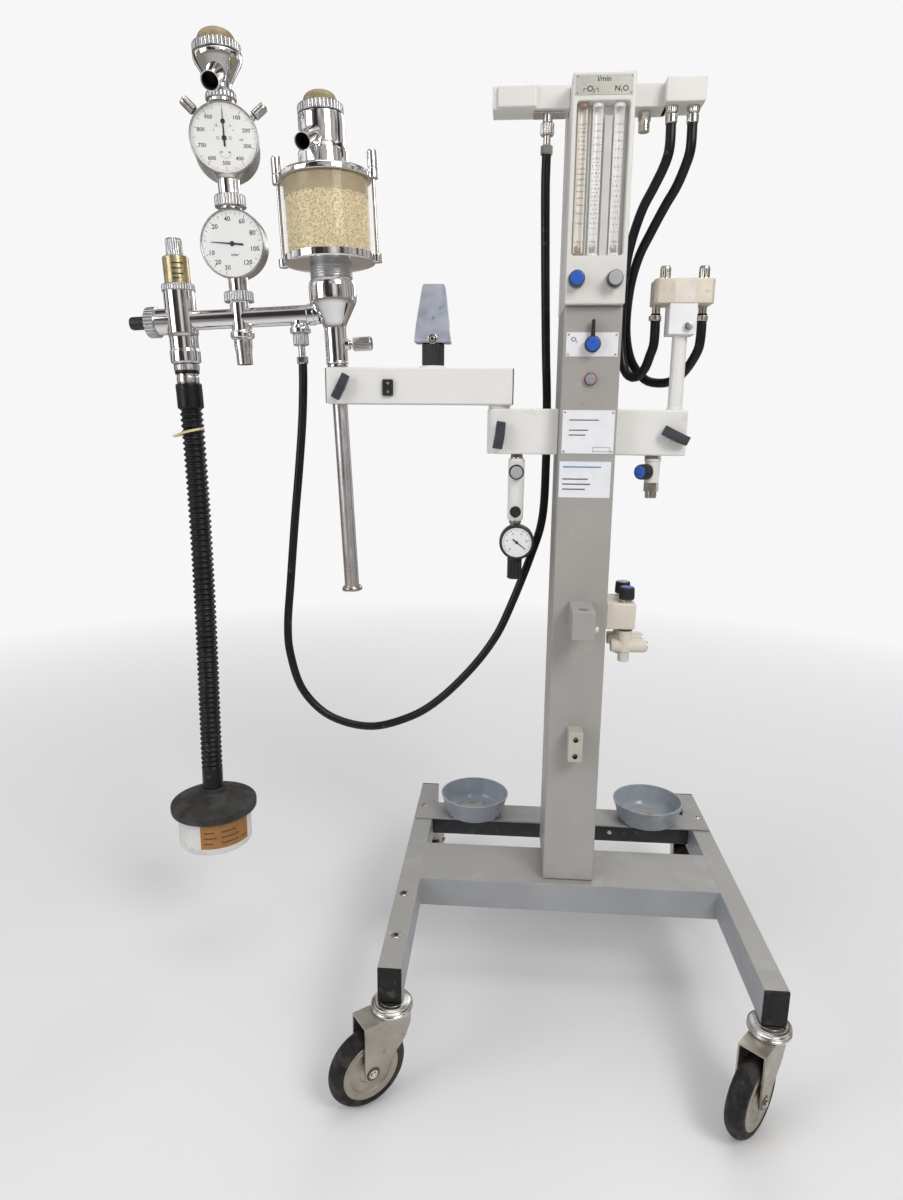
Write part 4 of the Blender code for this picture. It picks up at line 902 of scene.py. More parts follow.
def caster(place):
    side, y, heading = CASTERS[place]
    there = (Matrix.Translation((side * CASTER_X, y, 0)) @ Matrix.Rotation(math.radians(heading - 180), 4,
        "Z"))
    top, plate, half = LEG_BOTTOM - 0.3, 145, 18
    fork = looks(place + "_fork", "zinc_steel", place + "_caster")
    rings = turned([(30, plate), (32, plate + 2), (32, plate + 5), (30.2, plate + 6.3), (31.4, plate + 7.6),
        (31.4, plate + 9.6), (28.5, plate + 10.8), (28.5, plate + 12.8), (25, plate + 13.8),
        (25, plate + 14.8), (20, top - 0.5), (20, top)], sides=64, soft=0.7)
    fork.add(DULL_CHROME, rings, by=there)
    trail = -CASTER_TRAIL
    toe = [(trail + 12.5 * math.cos(math.radians(a)), WHEEL_RADIUS + 12.5 * math.sin(math.radians(a)))
        for a in range(-30, -171, -20)]
    outline = [(25.5, plate), (26.5, plate - 6), (25.5, plate - 26), (16, 96), (2, 80), *toe,
        (trail - 13, 70), (trail - 12.5, plate)]
    channel = fork_channel(half + 2.5, outline, 1, 30)
    inner_outline = [(23, plate - 2.5), (23.8, plate - 8), (22.8, plate - 27), (13, 95), (-10, 60),
        (-10, -10), (-200, -10), (-200, plate - 2.5)]
    fork.add(ZINC, carved(channel, fork_channel(half, inner_outline, 1, 30)), by=there)
    for out in (-1, 1):
        cheek = out * (half + 2.5)
        hub = Vector((trail, cheek, WHEEL_RADIUS))
        way = Vector((0, out, 0))
        fork.turn(GREASE, "11.5,-0.2 10.5,0.5 6,0.8", hub, way, 32, soft=0.2, by=there)
        fork.turn(NICKEL, "7.2,0 7.2,1.2 6,1.4", hub, way, 32, soft=0.2, by=there)
        fork.add(NICKEL, hexagon(10, hub + way * 1, hub + way * 4.2), by=there)
        fork.rod(NICKEL, hub, hub + way * 4.8, 3, 20, by=there)
        # Painted shade: a near-black disc for the hole in the fork cheek.
        fork.rod(PAINTED_HOLE_SHADE, (6, cheek - out * 0.5, 108), (6, cheek + out * 0.2, 108), 1.1, 16, by=there)
    fork.rod(ZINC, (trail, -half, WHEEL_RADIUS), (trail, half, WHEEL_RADIUS), 5, by=there)
    fork.made()

    wheel = looks(place + "_wheel", "tyre_rubber", place + "_roller")
    centre = (trail, 0, WHEEL_RADIUS)
    tyre = [(44.5, -12.5), (47, -14.5), (53.5, -14.5), (57, -12), (60.3, -8), (61.8, -4.5),
        (WHEEL_RADIUS, -2), (WHEEL_RADIUS, 2), (61.8, 4.5), (60.3, 8), (57, 12), (53.5, 14.5), (47, 14.5),
        (44.5, 12.5)]
    wheel.turn(TYRE, tyre, centre, Y_AXIS, 96, ring=True, soft=1.2, by=there)
    for out in (-1, 1):
        rim = ("46,10 46,14 44,14.8 41.5,13.5 39,12.8 37.8,14.2 35,14.2 33.5,11.2 20,10.8 16.5,14.5 13,15 "
               "12,16.8 6,16.8")
        wheel.turn(HUB_METAL, rim, centre, (0, out, 0), 80, soft=0.9, by=there)
    wheel.rod(HUB_METAL, Vector(centre) - Y_AXIS * 10.5, Vector(centre) + Y_AXIS * 10.5, 45.5, 48, by=there)
    wheel.made()


def shelf():
    tray = looks("cup_tray", "blue_grey_paint")
    tray.block(FRAME_PAINT, (-297, TRAY_FRONT, FRAME_TOP + 0.3), (297, TRAY_BACK, TRAY_TOP), 1.2)
    for x, y in ((-283.4, 201.8), (284.2, 197.2)):
        tray.turn(DULL_CHROME, "6.5,-0.2 6.5,0.8 5.5,1.1", (x, y, TRAY_TOP), soft=0.2)
        screw(tray, (x, y, TRAY_TOP + 0.8), Z_AXIS, 3.8)
    tray.add(BLACK, prism([(248.5, TRAY_TOP), (256, TRAY_TOP), (254.5, TRAY_TOP + 9), (253.5, TRAY_TOP + 9)],
        208, 1.5, 0.3))
    tray.made()
    bar = looks("rear_tie_bar", "black_plastic")
    bar.block(BLACK, (-262.7, 178, 172), (262.7, 200, FRAME_TOP - 0.3), 1.5)
    screw(bar, (103, 178, 192), FORWARD, 4.5, DULL_CHROME)
    bar.made()
    floor = FRAME_TOP + 4.6
    for name, side in (("left_cup", -1), ("right_cup", 1)):
        cup = looks(name, "blue_grey_paint")
        at = (side * CUP_X, CUP_Y, floor)
        cup.turn(CUP_GREY, "50,0 56,3 60,13 67.8,39.5 68.6,40 69,42.5 68.5,44 66,44 65.2,39 57,12 53,5.5 "
            "48,3 10,2.6 8,2.6", at, sides=96, soft=1.2)
        cup.turn(CUP_STAIN, "33,2.4 36,3.4 6,3.4", at, sides=64, soft=0.2)
        cup.turn(NICKEL, "7,2.8 7,4.2 6.2,4.6", at, sides=32, soft=0.2)
        cup.add(GREASE, hexagon(7, Vector(at) + Z_AXIS * 4, Vector(at) + Z_AXIS * 6.2))
        cup.made()


CUP_GREY = finish("cup_paint", (0.34, 0.375, 0.425), 0.27, shade=0.05, grain=14, bump=0.06, coat_weight=0.25,
    marks=[((0.48, 0.49, 0.5), 22, 0.6, 0.4), ((0.2, 0.19, 0.18), 190, 0.71, 0.6)])
CUP_STAIN = finish("cup_stain", (0.38, 0.365, 0.31), 0.45, shade=0.12, grain=40,
    marks=[((0.24, 0.17, 0.1), 60, 0.56, 0.7), ((0.46, 0.47, 0.45), 45, 0.56, 0.7)])
base()
for caster_place in CASTERS:
    caster(caster_place)
shelf()


# ---------------------------------------------------------------- column and its controls

def column():
    post = looks("column", "column_paint")
    shell = block((-COLUMN_HALF, COLUMN_FRONT, FRAME_TOP + 0.3), (COLUMN_HALF, COLUMN_BACK, COLUMN_TOP), 3, 4)
    post.add(COLUMN_PAINT, carved(shell, rod((0, COLUMN_FRONT - 10, BUTTON_Z),
        (0, COLUMN_FRONT + 20, BUTTON_Z), 9.5)))
    rest = block((-18.5, -128.6, 683), (17.5, COLUMN_FRONT + 2, 728.5), 1.2)
    post.add(COLUMN_PAINT, carved(rest, rod((-0.5, -111, 700), (-0.5, -111, 740), 6.5)))
    post.turn(NICKEL, "8.8,727.5 8.8,729 6.6,729 6,705 6,701 8.8,701", (-0.5, -111, 0), ring=True, soft=0.3)
    post.rod(CREAM_PAINT, (16, -110, 697), (24.5, -110, 697), 4.5)
    terminal = block((-12, -78.5, 457.4), (12.5, COLUMN_FRONT + 2, 510), 1.2)
    holes = [rod((0, -58.5, z), (0, -90, z), 4.6) for z in TERMINAL_Z]
    post.add(TERMINAL_PAINT, carved(terminal, *holes))
    for z in TERMINAL_Z:
        post.turn(NICKEL, "6,-0.4 6,0.6 4.6,0.6 4.4,-14 3,-14 3,-15 5,-15", (0, -78.5, z), FORWARD, 32,
            ring=True, soft=0.2)
        # Painted shade: a near-black disc down inside each socket.
        post.rod(PAINTED_HOLE_SHADE, (0, -60, z), (0, -64, z), 4)
    post.made()

    plates = Piece("column_plates", "stand", "column_paint")
    front = COLUMN_FRONT
    for look, x0, x1, z0, z1 in ((WHITE_PLATE, -39.5, 39.5, 1113.5, 1149),
            (WHITE_PLATE, -40.5, 40.5, 966.9, 1033.5)):
        plates.block(look, (x0, front - 1.2, z0), (x1, front + 0.5, z1), 0.5, 2)
        for x in (x0 + 3.5, x1 - 3.5):
            for z in (z0 + 3.5, z1 - 3.5):
                screw(plates, (x, front - 1.2, z), FORWARD, 1.6)
    plates.block(STICKER, (-42.5, front - 0.4, 897.8), (38.5, front + 0.5, 954.5), 0.2, 1)
    plates.add(INK, lettering("O", 9.5, facing_front(-28.5, front - 1.2, 1138.5)),
        lettering("2", 5.2, facing_front(-23.7, front - 1.2, 1135.5)))
    for z, width in ((1018.5, 46), (1003, 30), (995.5, 26)):
        plates.block(FAINT_INK, (-30, front - 1.4, z - 0.9), (-30 + width, front - 1, z + 0.9), 0)
    x, z, wide, tall = 21.5, 973.5, 26, 6.5
    for offset in (-1, 1):
        level, upright = z + offset * tall / 2, x + offset * wide / 2
        plates.block(FAINT_INK, (x - wide / 2, front - 1.4, level - 0.3),
            (x + wide / 2, front - 1, level + 0.3), 0)
        plates.block(FAINT_INK, (upright - 0.3, front - 1.4, z - tall / 2),
            (upright + 0.3, front - 1, z + tall / 2), 0)
    for z, width, look in ((946, 60, BLUE_PRINT), (927, 40, FAINT_INK), (919, 44, FAINT_INK),
            (911, 36, FAINT_INK)):
        plates.block(look, (-37, front - 0.6, z - 1), (-37 + width, front - 0.3, z + 1), 0)
    plates.turn(PINK_RING, "12.6,-0.2 12.6,1 9.5,1.4 9.5,-0.2", (0, front, BUTTON_Z), FORWARD, 64, ring=True,
        soft=0.4)
    plates.made()

    knob = looks("selector_knob", "blue_plastic", "selector_knob")
    face = front - 1.8
    knob.turn(BLACK, "11.8,0 12,1 12,12.5 10.8,14", (0, face, SELECTOR_Z), FORWARD, 64)
    knob.turn(BLUE, "10.4,12 10.4,14.2 9.6,15 4,15.2", (0, face, SELECTOR_Z), FORWARD, 64)
    lever = prism([(-3.4, SELECTOR_Z), (3.4, SELECTOR_Z), (2.6, 1165.5), (1.6, 1167), (-1.6, 1167),
        (-2.6, 1165.5)], face - 10.5, 7, 0.8)
    knob.add(BLACK, lever)
    knob.made()
    button = looks("push_button", "grey_plastic", "push_button")
    button.turn(BUTTON_GREY, "8.5,-10 8.5,5 8,6.6 6.6,7.6 3,8", (0, front, BUTTON_Z), FORWARD, 64)
    button.made()


TERMINAL_PAINT = finish("terminal_paint", (0.5, 0.47, 0.41), 0.45, shade=0.06, grain=30, bump=0.1)
column()


# ---------------------------------------------------------------- flowmeter housing

def tube_scale(piece, x, values, high, power):
    """Printed marks and numbers up one flow tube."""
    face = TUBE_Y - 7.7
    for value, text in values:
        z = 1275.7 + (1433 - 1275.7) * ((value - values[0][0]) / (high - values[0][0])) ** power
        wide = 5.8 if text else 3.6
        piece.add(INK, block((x - wide, face - 0.1, z - 0.26), (x - wide + 2.6, face + 0.4, z + 0.26), 0),
            block((x + wide - 2.6, face - 0.1, z - 0.26), (x + wide, face + 0.4, z + 0.26), 0))
        if text:
            piece.add(INK, lettering(text, 4.2, facing_front(x, face, z)))


def flowmeter():
    housing = looks("flowmeter_housing", "cream_paint")
    shell = block((-HOUSING_HALF, HOUSING_FRONT, COLUMN_TOP + 0.3),
        (HOUSING_HALF, HOUSING_BACK, HOUSING_TOP), 3, 4)
    window = prism(rounded_outline(38, WINDOW_LOW, WINDOW_HIGH, 5), HOUSING_FRONT - 20, 44, 0)
    lip = prism(rounded_outline(38.8, WINDOW_LOW - 0.8, WINDOW_HIGH + 0.8, 5.8), HOUSING_FRONT - 20, 20.8, 0)
    passage = block((-HOUSING_HALF - 10, -6.3, 1473.7), (HOUSING_HALF + 10, 24.3, 1490.3), 0)
    housing.add(HOUSING_PAINT, carved(shell, window, lip, passage))
    housing.block(HEADER, (-41.2, HOUSING_FRONT - 0.8, 1469), (40.5, HOUSING_FRONT + 0.5, 1495), 0.4, 2)
    print_y = HOUSING_FRONT - 0.8
    housing.add(INK, lettering("l/min", 9.8, facing_front(-1, print_y, 1489.2)),
        lettering("O", 11, facing_front(-20.5, print_y, 1476.5)),
        lettering("2", 6.2, facing_front(-14.8, print_y, 1473.8)),
        lettering("N", 10.5, facing_front(18.2, print_y, 1476.5)),
        lettering("2", 5.6, facing_front(23.6, print_y, 1473.8)),
        lettering("O", 10.5, facing_front(29.5, print_y, 1476.5)))
    for x in (-29.3, -9):
        inward = 3.4 if x < -20 else -3.4
        low, high = sorted((x, x + inward))
        housing.add(INK, block((x - 0.4, print_y - 0.1, 1472.5), (x + 0.4, print_y + 0.3, 1477), 0),
            block((low - 0.4, print_y - 0.1, 1476.4), (high + 0.4, print_y + 0.3, 1477.2), 0))
    for x in (-38.5, 37.8):
        for z in (1471.5, 1492.5):
            screw(housing, (x, HOUSING_FRONT - 0.6, z), FORWARD, 1.1)
    housing.made()

    back = HOUSING_FRONT + 24
    bank = Piece("flow_tubes", "stand", "tube_glass", ["flow_tube_bank"])
    low, high = WINDOW_LOW + 1, WINDOW_HIGH - 1
    bank.block(SCALE_BACK, (-37, back - 1.6, low), (37, back - 0.6, high), 0.3, 1)
    for x, look in zip(TUBE_X, (OLD_TUBE, NEW_TUBE, NEW_TUBE)):
        bank.add(look, tube_backing(x, low + 2, high - 4))
        bank.turn(CLEAR, [(7.4, low), (7.4, high)], (x, TUBE_Y, 0), sides=48, soft=0)
        for z0, z1 in ((low, low + 3.5), (high - 5, high)):
            bank.turn(SCALE_BACK if look is NEW_TUBE else BROWN_SPOT,
                [(4.8, z0), (8.2, z0), (8.2, z1), (4.8, z1)], (x, TUBE_Y, 0), sides=40, ring=True, soft=0.4)
    bank.block(LIGHT_STRIP, (3.6, back - 11, low + 1), (15, back - 2, 1447.5), 1)
    bank.block(SCALE_BACK, (-18, back - 8, low), (-16.5, back - 1, high), 0.3, 1)
    left = [(0.1 + 0.1 * step, "" if step in (10, 12, 14, 16, 18) else f"{0.1 + 0.1 * step:.1f}")
        for step in range(20)]
    middle = [(value, f"{value:g}") for value in (0.5, 1, 2, 3, 4, 5, 6, 7, 8, 9, 10, 11, 12, 13, 14, 15)]
    middle += [(value + 0.5, "") for value in range(1, 10)]
    right = [(value, f"{value:g}") for value in (0.5, 1, 2, 3, 4, 5, 6, 7, 8, 9, 10, 11, 12)]
    right += [(value + 0.5, "") for value in range(1, 6)]
    for x, values, top, power in ((TUBE_X[0], left, 2, 0.62), (TUBE_X[1], middle, 15, 0.8),
            (TUBE_X[2], right, 12, 0.78)):
        tube_scale(bank, x, values, top, power)
    bank.made()
    pane = Piece("flowmeter_window", "stand", "tube_glass")
    pane.add(PANE, prism(rounded_outline(38.4, WINDOW_LOW - 0.4, WINDOW_HIGH + 0.4, 5.4), HOUSING_FRONT
        + 1.2, 1, 0.2))
    pane.made()

    for name, x in zip(("oxygen_low_float", "oxygen_high_float", "nitrous_float"), TUBE_X):
        float_piece = looks(name, "float_metal", name)
        float_piece.turn(NICKEL, "1,0 1.4,0.5 3.4,6 3.4,9.8 2.4,10.4 2,12", (x, TUBE_Y, 1262), sides=40,
            soft=0.3)
        float_piece.made()
    for name, x, cap in (("oxygen_flow_knob", -29, BLUE), ("nitrous_flow_knob", 27, PALE_GREY)):
        knob = looks(name, "blue_plastic" if x < 0 else "grey_plastic", name)
        foot = HOUSING_FRONT - 0.3
        knob.turn(PALE_GREY, "13,0 13,2.6 11.8,3.4", (x, foot, FLOW_KNOB_Z), FORWARD, 64)
        knob.turn(BLACK, "11.6,3 11.6,5,0.5 11.6,17.2,0.5 10.8,19", (x, foot, FLOW_KNOB_Z), FORWARD,
            flutes=26)
        knob.turn(cap, "10.3,16 10.3,19.2 9.6,19.9 4,20.2", (x, foot, FLOW_KNOB_Z), FORWARD, 64)
        knob.made()


def tube_backing(x, low, high):
    """The white half shell behind a flow tube's bore."""
    outline = []
    for reach, angles in ((7.2, range(0, 181, 15)), (4.8, range(180, -1, -15))):
        for angle in angles:
            turn = math.radians(angle)
            outline.append((x + reach * math.cos(turn), TUBE_Y + 0.6 + reach * math.sin(turn)))
    return extruded([(px, py, low) for px, py in outline], (0, 0, high - low))


LIGHT_STRIP = finish("light_strip", (0.62, 0.62, 0.61), 0.4, shade=0.04, grain=30)
flowmeter()


# ---------------------------------------------------------------- brackets, levers and the valves below them

def lever(node, centre, size, lean):
    """A slightly waisted bar on a stud, turned about the stud."""
    x, face, z = centre
    width, length = size
    bar = looks(node, "black_plastic", node)
    front, back = face - 18.3, face - 7.2
    half = length / 2
    outline = [(-width / 2, -half), (width / 2, -half), (width / 2 + 0.8, 0), (width / 2 - 1, half),
        (-width / 2 + 0.4, half), (-width / 2 + 1, 0)]
    shape = prism([(x + u, z + w) for u, w in outline], front, back - front, 1.4)
    for vertex in shape.verts:
        if vertex.co.y < (front + back) / 2:
            vertex.co.y += 3.5 * abs((vertex.co.z - z) / half) ** 1.5
    bar.add(LEVER, shape, by=turn_about(centre, "Y", lean))
    bar.rod(BLACK, (x, face - 0.3, z), (x, face - 9, z), 5.8)
    bar.made()


def brackets():
    left = looks("left_bracket", "cream_paint")
    edge = -COLUMN_HALF - 0.3
    left.block(CREAM_PAINT, (PIVOT_X, BRACKET_FRONT, BRACKET_LOW), (edge, -BRACKET_FRONT, BRACKET_HIGH), 2.2,
        4)
    left.turn(CREAM_PAINT, [(17, BRACKET_LOW), (19, BRACKET_LOW + 2.2), (19, BRACKET_HIGH - 2.2),
        (17, BRACKET_HIGH)], (PIVOT_X, 0, 0), sides=72, soft=1.2)
    left.made()
    right = looks("right_bracket", "cream_paint")
    right.block(CREAM_PAINT, (-edge, BRACKET_FRONT, BRACKET_LOW),
        (POST_X + 18, -BRACKET_FRONT, BRACKET_HIGH), 3, 5)
    right.made()
    lever("left_clamp_lever", (-139, BRACKET_FRONT, 994), (16.2, 43.5), 8)
    lever("right_clamp_lever", (POST_X - 1, BRACKET_FRONT, 995.6), (16.2, 43.5), 115)


def vacuum_valve():
    x = -110
    valve = looks("vacuum_valve", "cream_paint")
    valve.add(NICKEL, hexagon(19, (x, 0, 958), (x, 0, BRACKET_LOW - 0.3)),
        turned("8,955 10.5,956 10.5,958.5 8,959", (x, 0, 0)))
    valve.turn(CREAM_PAINT, "12,855 13.2,860 13.2,904 12.8,904.6 12.8,905.6 13.5,906.2 13.5,953 12,956.5",
        (x, 0, 0), sides=64)
    valve.rod(BLACK, (x, -10, 870), (x, -18.5, 870), 9.2, 40, 0.8)
    valve.turn(CREAM_PAINT, "12.3,0 12.3,13.5", (x, 0, 935), FORWARD)
    valve.turn(NICKEL, "8.5,836 8.5,849 10,850 10,855 8.5,856", (x, 0, 0))
    centre = Vector((x + 3.5, -10, 819.5))
    case = [(26.8, -10), (29, -8.5), (29, 13), (27, 15), (22, 19)]
    valve.turn(BLACK, [(24.5, -7.8), (24.8, -10), *case], centre, Y_AXIS, 80)
    face = centre.y - 8
    valve.turn(DIAL, "24.7,-0.6 24.7,1", (centre.x, face, centre.z), Y_AXIS, 72, soft=0.1)
    middle = (centre.x, face - 0.6, centre.z)
    ticks(valve, middle, 22.5, range(-135, 136, 27), 3.5, 0.5)
    ticks(valve, middle, 22.5, [angle / 10 for angle in range(-1350, 1351, 54)], 1.8, 0.3)
    for angle, text in ((-135, "0"), (-81, ".2"), (-27, ".4"), (27, ".6"), (81, ".8"), (135, "1")):
        dial_number(valve, middle, 16, angle, text, 4.6)
    pointer = prism([(centre.x - 1.2, centre.z - 8.5), (centre.x + 1.2, centre.z - 8.5),
        (centre.x + 0.4, centre.z + 19), (centre.x - 0.4, centre.z + 19)], face - 1.4, 0.6, 0.1)
    valve.add(INK, pointer, by=turn_about(centre, "Y", 127))
    valve.turn(INK, "2.6,0 2.6,1.2 1.8,1.6", (centre.x, face - 0.4, centre.z), FORWARD)
    notched = "10.5,755.5 12.5,757 12.5,760,1.6 12.5,786,1.6 12.5,789 11,800 10,808"
    valve.turn(BLACK, notched, (x + 1, 0, 0), flutes=12)
    valve.made()
    knob = looks("vacuum_knob", "grey_plastic", "vacuum_knob")
    fluted_knob(knob, BLACK, (x, -14, 935), FORWARD, 12.5, 11.2, PALE_GREY, 24, 0.4)
    knob.made()


def outlet_valve():
    x = 111
    valve = looks("outlet_valve", "cream_paint")
    valve.add(NICKEL, rod((x, 0, 895), (x, 0, 907), 9.2, 40, 1), hexagon(23.8, (x, 0, 905.5), (x, 0, 921.5)),
        hexagon(26.2, (x, 0, 958.5), (x, 0, BRACKET_LOW - 0.3)))
    # Painted shade: a near-black disc in the valve's outlet.
    valve.rod(PAINTED_HOLE_SHADE, (x, 0, 894.8), (x, 0, 896), 5.5)
    valve.turn(CREAM_PAINT, "11.8,920.5 12,922.5 12,954 13.5,955.5 13.5,958.5", (x, 0, 0), sides=64)
    out = Vector((-0.72, -0.69, 0)).normalized()
    start = Vector((x, 0, 938)) + out * 12.5
    valve.turn(CREAM_PAINT, "10.5,0 9.8,12", (x, 0, 938), out)
    valve.made()
    knob = looks("outlet_knob", "black_plastic", "outlet_knob")
    fluted_knob(knob, BLACK, start, out, 12.8, 20, BLUE, 22, 0.9)
    knob.made()


def side_valve():
    low, high = 679, 723.5
    valve = Piece("side_valve_looks", "stand", "cream_paint", ["side_valve_block"])
    valve.block(VALVE_CREAM, (COLUMN_HALF + 0.3, -36, low), (93.5, 46, high), 3.2, 4)
    for y in (-20, 30):
        valve.turn(VALVE_CREAM, [(11.2, 638), (12, 639.5), (12, low + 1)], (79, y, 0), sides=56)
        valve.rod(BLACK, (79, y, low - 4), (79, y, low - 0.8), 12.8, 56, 0.8)
        valve.rod(VALVE_CREAM, (79, y, 621), (79, y, 640), 9.5, 48, 1.2)
        valve.turn(VALVE_CREAM, "10,0 11.2,1.2 11.5,6 11.5,56 9.5,60", (56.5, y, 648), X_AXIS, 56)
        valve.turn(DULL_CHROME, "8,58 9.2,59 9.2,60.8 7,61.5", (56.5, y, 648), X_AXIS, 48)
        valve.rod(NICKEL, (79, y, high - 1), (79, y, high + 4.5), 8.8, 48)
    valve.made()
    for name, y, cap in (("side_knob_front", -20, BLUE), ("side_knob_rear", 30, PALE_GREY)):
        knob = looks(name, "black_plastic", name)
        fluted_knob(knob, BLACK, (79, y, high + 4.8), Z_AXIS, 13, 20.4, cap, 18, 1)
        knob.made()


def manifold():
    post = looks("manifold_post", "cream_paint")
    post.turn(POST_PAINT, [(11.5, BRACKET_HIGH + 0.3), (11.5, 1152)], (POST_X, 0, 0), sides=64, soft=0.3)
    post.turn(POST_PAINT, [(12.8, BRACKET_HIGH + 0.3), (12.8, BRACKET_HIGH + 3), (11.5, BRACKET_HIGH + 4)],
        (POST_X, 0, 0), sides=64, soft=0.6)
    post.block(POST_WHITE, (119, -20, 1149.5), (161, 20, 1195.5), 1.4)
    post.turn(DULL_CHROME, "6.5,0 6.5,4.5 5.8,5.2 2,5.4", (148, -19.6, 1161), FORWARD, 48)
    outline = [(95, -15), (100, -21), (124, -21), (157, -21), (181, -21), (186, -15), (186, 25), (180, 31),
        (101, 31), (95, 25)]
    body = prism(outline, 0, 36.5, 1.6)
    upright = Matrix(((1, 0, 0, 0), (0, 0, 1, 0), (0, 1, 0, 1195.2), (0, 0, 0, 1)))
    post.add(CASTING, body, by=upright)
    post.block(CASTING_LIGHT, (124.5, -21.4, 1195.5), (156, 30, 1232.2), 1.2)
    for x in (112, 171):
        post.turn(NICKEL, "8.5,1229 8.5,1233.5 8.3,1234.5,0.6 8.3,1247.5,0.6 7,1251 6.5,1251.8", (x, -2, 0),
            flutes=9)
    for x in (103, 175):
        post.turn(DULL_CHROME, "7.8,1172 9,1172.8 9,1180 7.8,1180.8", (x, 10, 0))
        post.turn(NICKEL, "6.5,1183.5 6.5,1197", (x, 10, 0))
    post.block(DULL_CHROME, (91.5, -1, 1172.2), (96.5, 6, 1179.8), 1)
    post.made()


def top_beam():
    low, high = BEAM_LOW, BEAM_HIGH
    half = HOUSING_HALF + 0.3
    beam = looks("top_beam", "cream_paint")
    beam.add(HOUSING_PAINT, block((-160, -12, low), (-half, 30, high), 1.6),
        block((half, -12, low), (100, 30, high), 1.6), block((-152, -18.2, low + 1.2),
        (-94.5, -10, high - 1.2), 2.2), block((92, -30, low), (149, 26, high + 1), 2),
        block((-half - 4, -6, 1474), (half + 4, 24, 1490), 0))
    beam.block(DULL_CHROME, (-99, -6, low - 3), (-50, 22, low + 1), 0.8)
    connector = [(7.5, low), (7.5, 1456), (9, 1455.5), (10.5, 1454, 1.2), (10.5, 1440, 1.2), (9, 1438.5)]
    beam.turn(DULL_CHROME, connector, (-77, 4, 0), flutes=14)
    beam.turn(NICKEL, "5.5,1439 5.5,1424", (-77, 4, 0))
    beam.turn(DULL_CHROME, "8.8,1425 9.2,1424 9.2,1413 8.8,1412", (-77, 5, 0), sides=6, soft=0.3)
    beam.add(NICKEL, hexagon(18.5, (67.5, 6, 1456), (67.5, 6, low + 1)))
    inlet = "7.2,1441.5 8.5,1442.5 8.5,1445 8,1445.5 8.5,1446.2 8.5,1448.5 8,1449 8.5,1449.7 8.5,1456.5"
    beam.turn(NICKEL, inlet, (67.5, 6, 0), soft=0.3)
    for x in (104.5, 135.5):
        beam.turn(NICKEL, [(9.5, low + 1), (9.5, 1462, 0.8), (9.5, 1461.5), (8, 1460)], (x, -10, 0),
            flutes=12)
        beam.turn(DULL_CHROME, "8.2,1459 8.8,1458.5 8.8,1448 8,1447", (x, -10, 0))
    beam.made()


POST_WHITE = finish("head_block_paint", (0.9, 0.915, 0.95), 0.35, shade=0.03, grain=20, bump=0.05)
brackets()
vacuum_valve()
outlet_valve()
side_valve()
manifold()
top_beam()


# ---------------------------------------------------------------- swing arm and holder

def swing_arm():
    arm = looks("swing_arm", "cream_paint", "swing_arm")
    bar = block((ARM_LEFT + 1.2, ARM_FRONT, ARM_LOW), (ARM_RIGHT - 1.2, -ARM_FRONT, ARM_TOP), 2.6, 4)
    bore = rod((POST_FOOT_X, 0, ARM_LOW - 30), (POST_FOOT_X, 0, ARM_TOP + 30), 14.8, 48)
    bmesh.ops.transform(bore, matrix=turn_about((POST_FOOT_X, 0, ARM_TOP), "Y", POST_LEAN), verts=bore.verts)
    arm.add(CREAM_PAINT, carved(bar, bore))
    for x0, x1 in ((ARM_LEFT, ARM_LEFT + 3), (ARM_RIGHT - 3, ARM_RIGHT)):
        arm.block(CAP_BLACK, (x0, ARM_FRONT + 1.2, ARM_LOW + 1.2), (x1, -ARM_FRONT - 1.2, ARM_TOP - 1.2), 0.9)
    arm.turn(CREAM_PAINT, [(17.5, 1036.3), (17.5, ARM_LOW + 1)], (PIVOT_X, 0, 0), sides=64, soft=0.4)
    arm.turn(CREAM_PAINT, [(22.5, ARM_TOP - 1), (22.5, ARM_TOP + 1.6), (20.5, ARM_TOP + 3.2),
        (17.5, ARM_TOP + 4)], (HOLDER_X, 0, 0), sides=64)
    box = Vector((-319.5, ARM_FRONT, 1067))
    arm.block(BLACK, box + Vector((-8.8, -6, -13)), box + Vector((8.8, 1, 13)), 2.2, 4)
    for z in (-6.5, 6.5):
        screw(arm, box + Vector((1, -6, z)), FORWARD, 2.1, NICKEL)
    arm.made()
    lever("arm_clamp_lever", (-394.5, ARM_FRONT, 1068), (14.5, 42), 27)

    holder = Piece("holder_looks", "holder_paddle", "grey_plastic", ["holder_paddle"])
    foot = ARM_TOP + 4.3
    holder.turn(BLACK, "16.5,0 18,1.2 18,3,1 18,30,1 18,32.5 16,34.5", (HOLDER_X, 0, foot), flutes=22)
    low = 1137
    outline = [(-29, low), (29, low), (29, 1143), (26.8, 1156), (26.8, 1166), (20.5, 1221), (19, 1224.5),
        (17, 1225), (-13, 1225), (-15.5, 1223.5), (-16.5, 1220), (-26.2, 1166), (-27.5, 1156), (-29, 1143)]
    plate = prism([(HOLDER_X + u, w) for u, w in outline], -16.5, 10, 2.2)
    holder.add(PADDLE, plate)
    holder.block(PADDLE, (HOLDER_X - 28.5, -17.8, low), (HOLDER_X + 28.5, 16, 1142.5), 1.6)
    holder.turn(DULL_CHROME, "7.2,-0.5 7.8,0.8 6,1.4", (HOLDER_X + 0.5, -17, 1142.8), FORWARD, 40)
    screw(holder, (HOLDER_X + 0.5, -18, 1142.8), FORWARD, 4.2, NICKEL)
    holder.made()


swing_arm()


# ---------------------------------------------------------------- breathing system

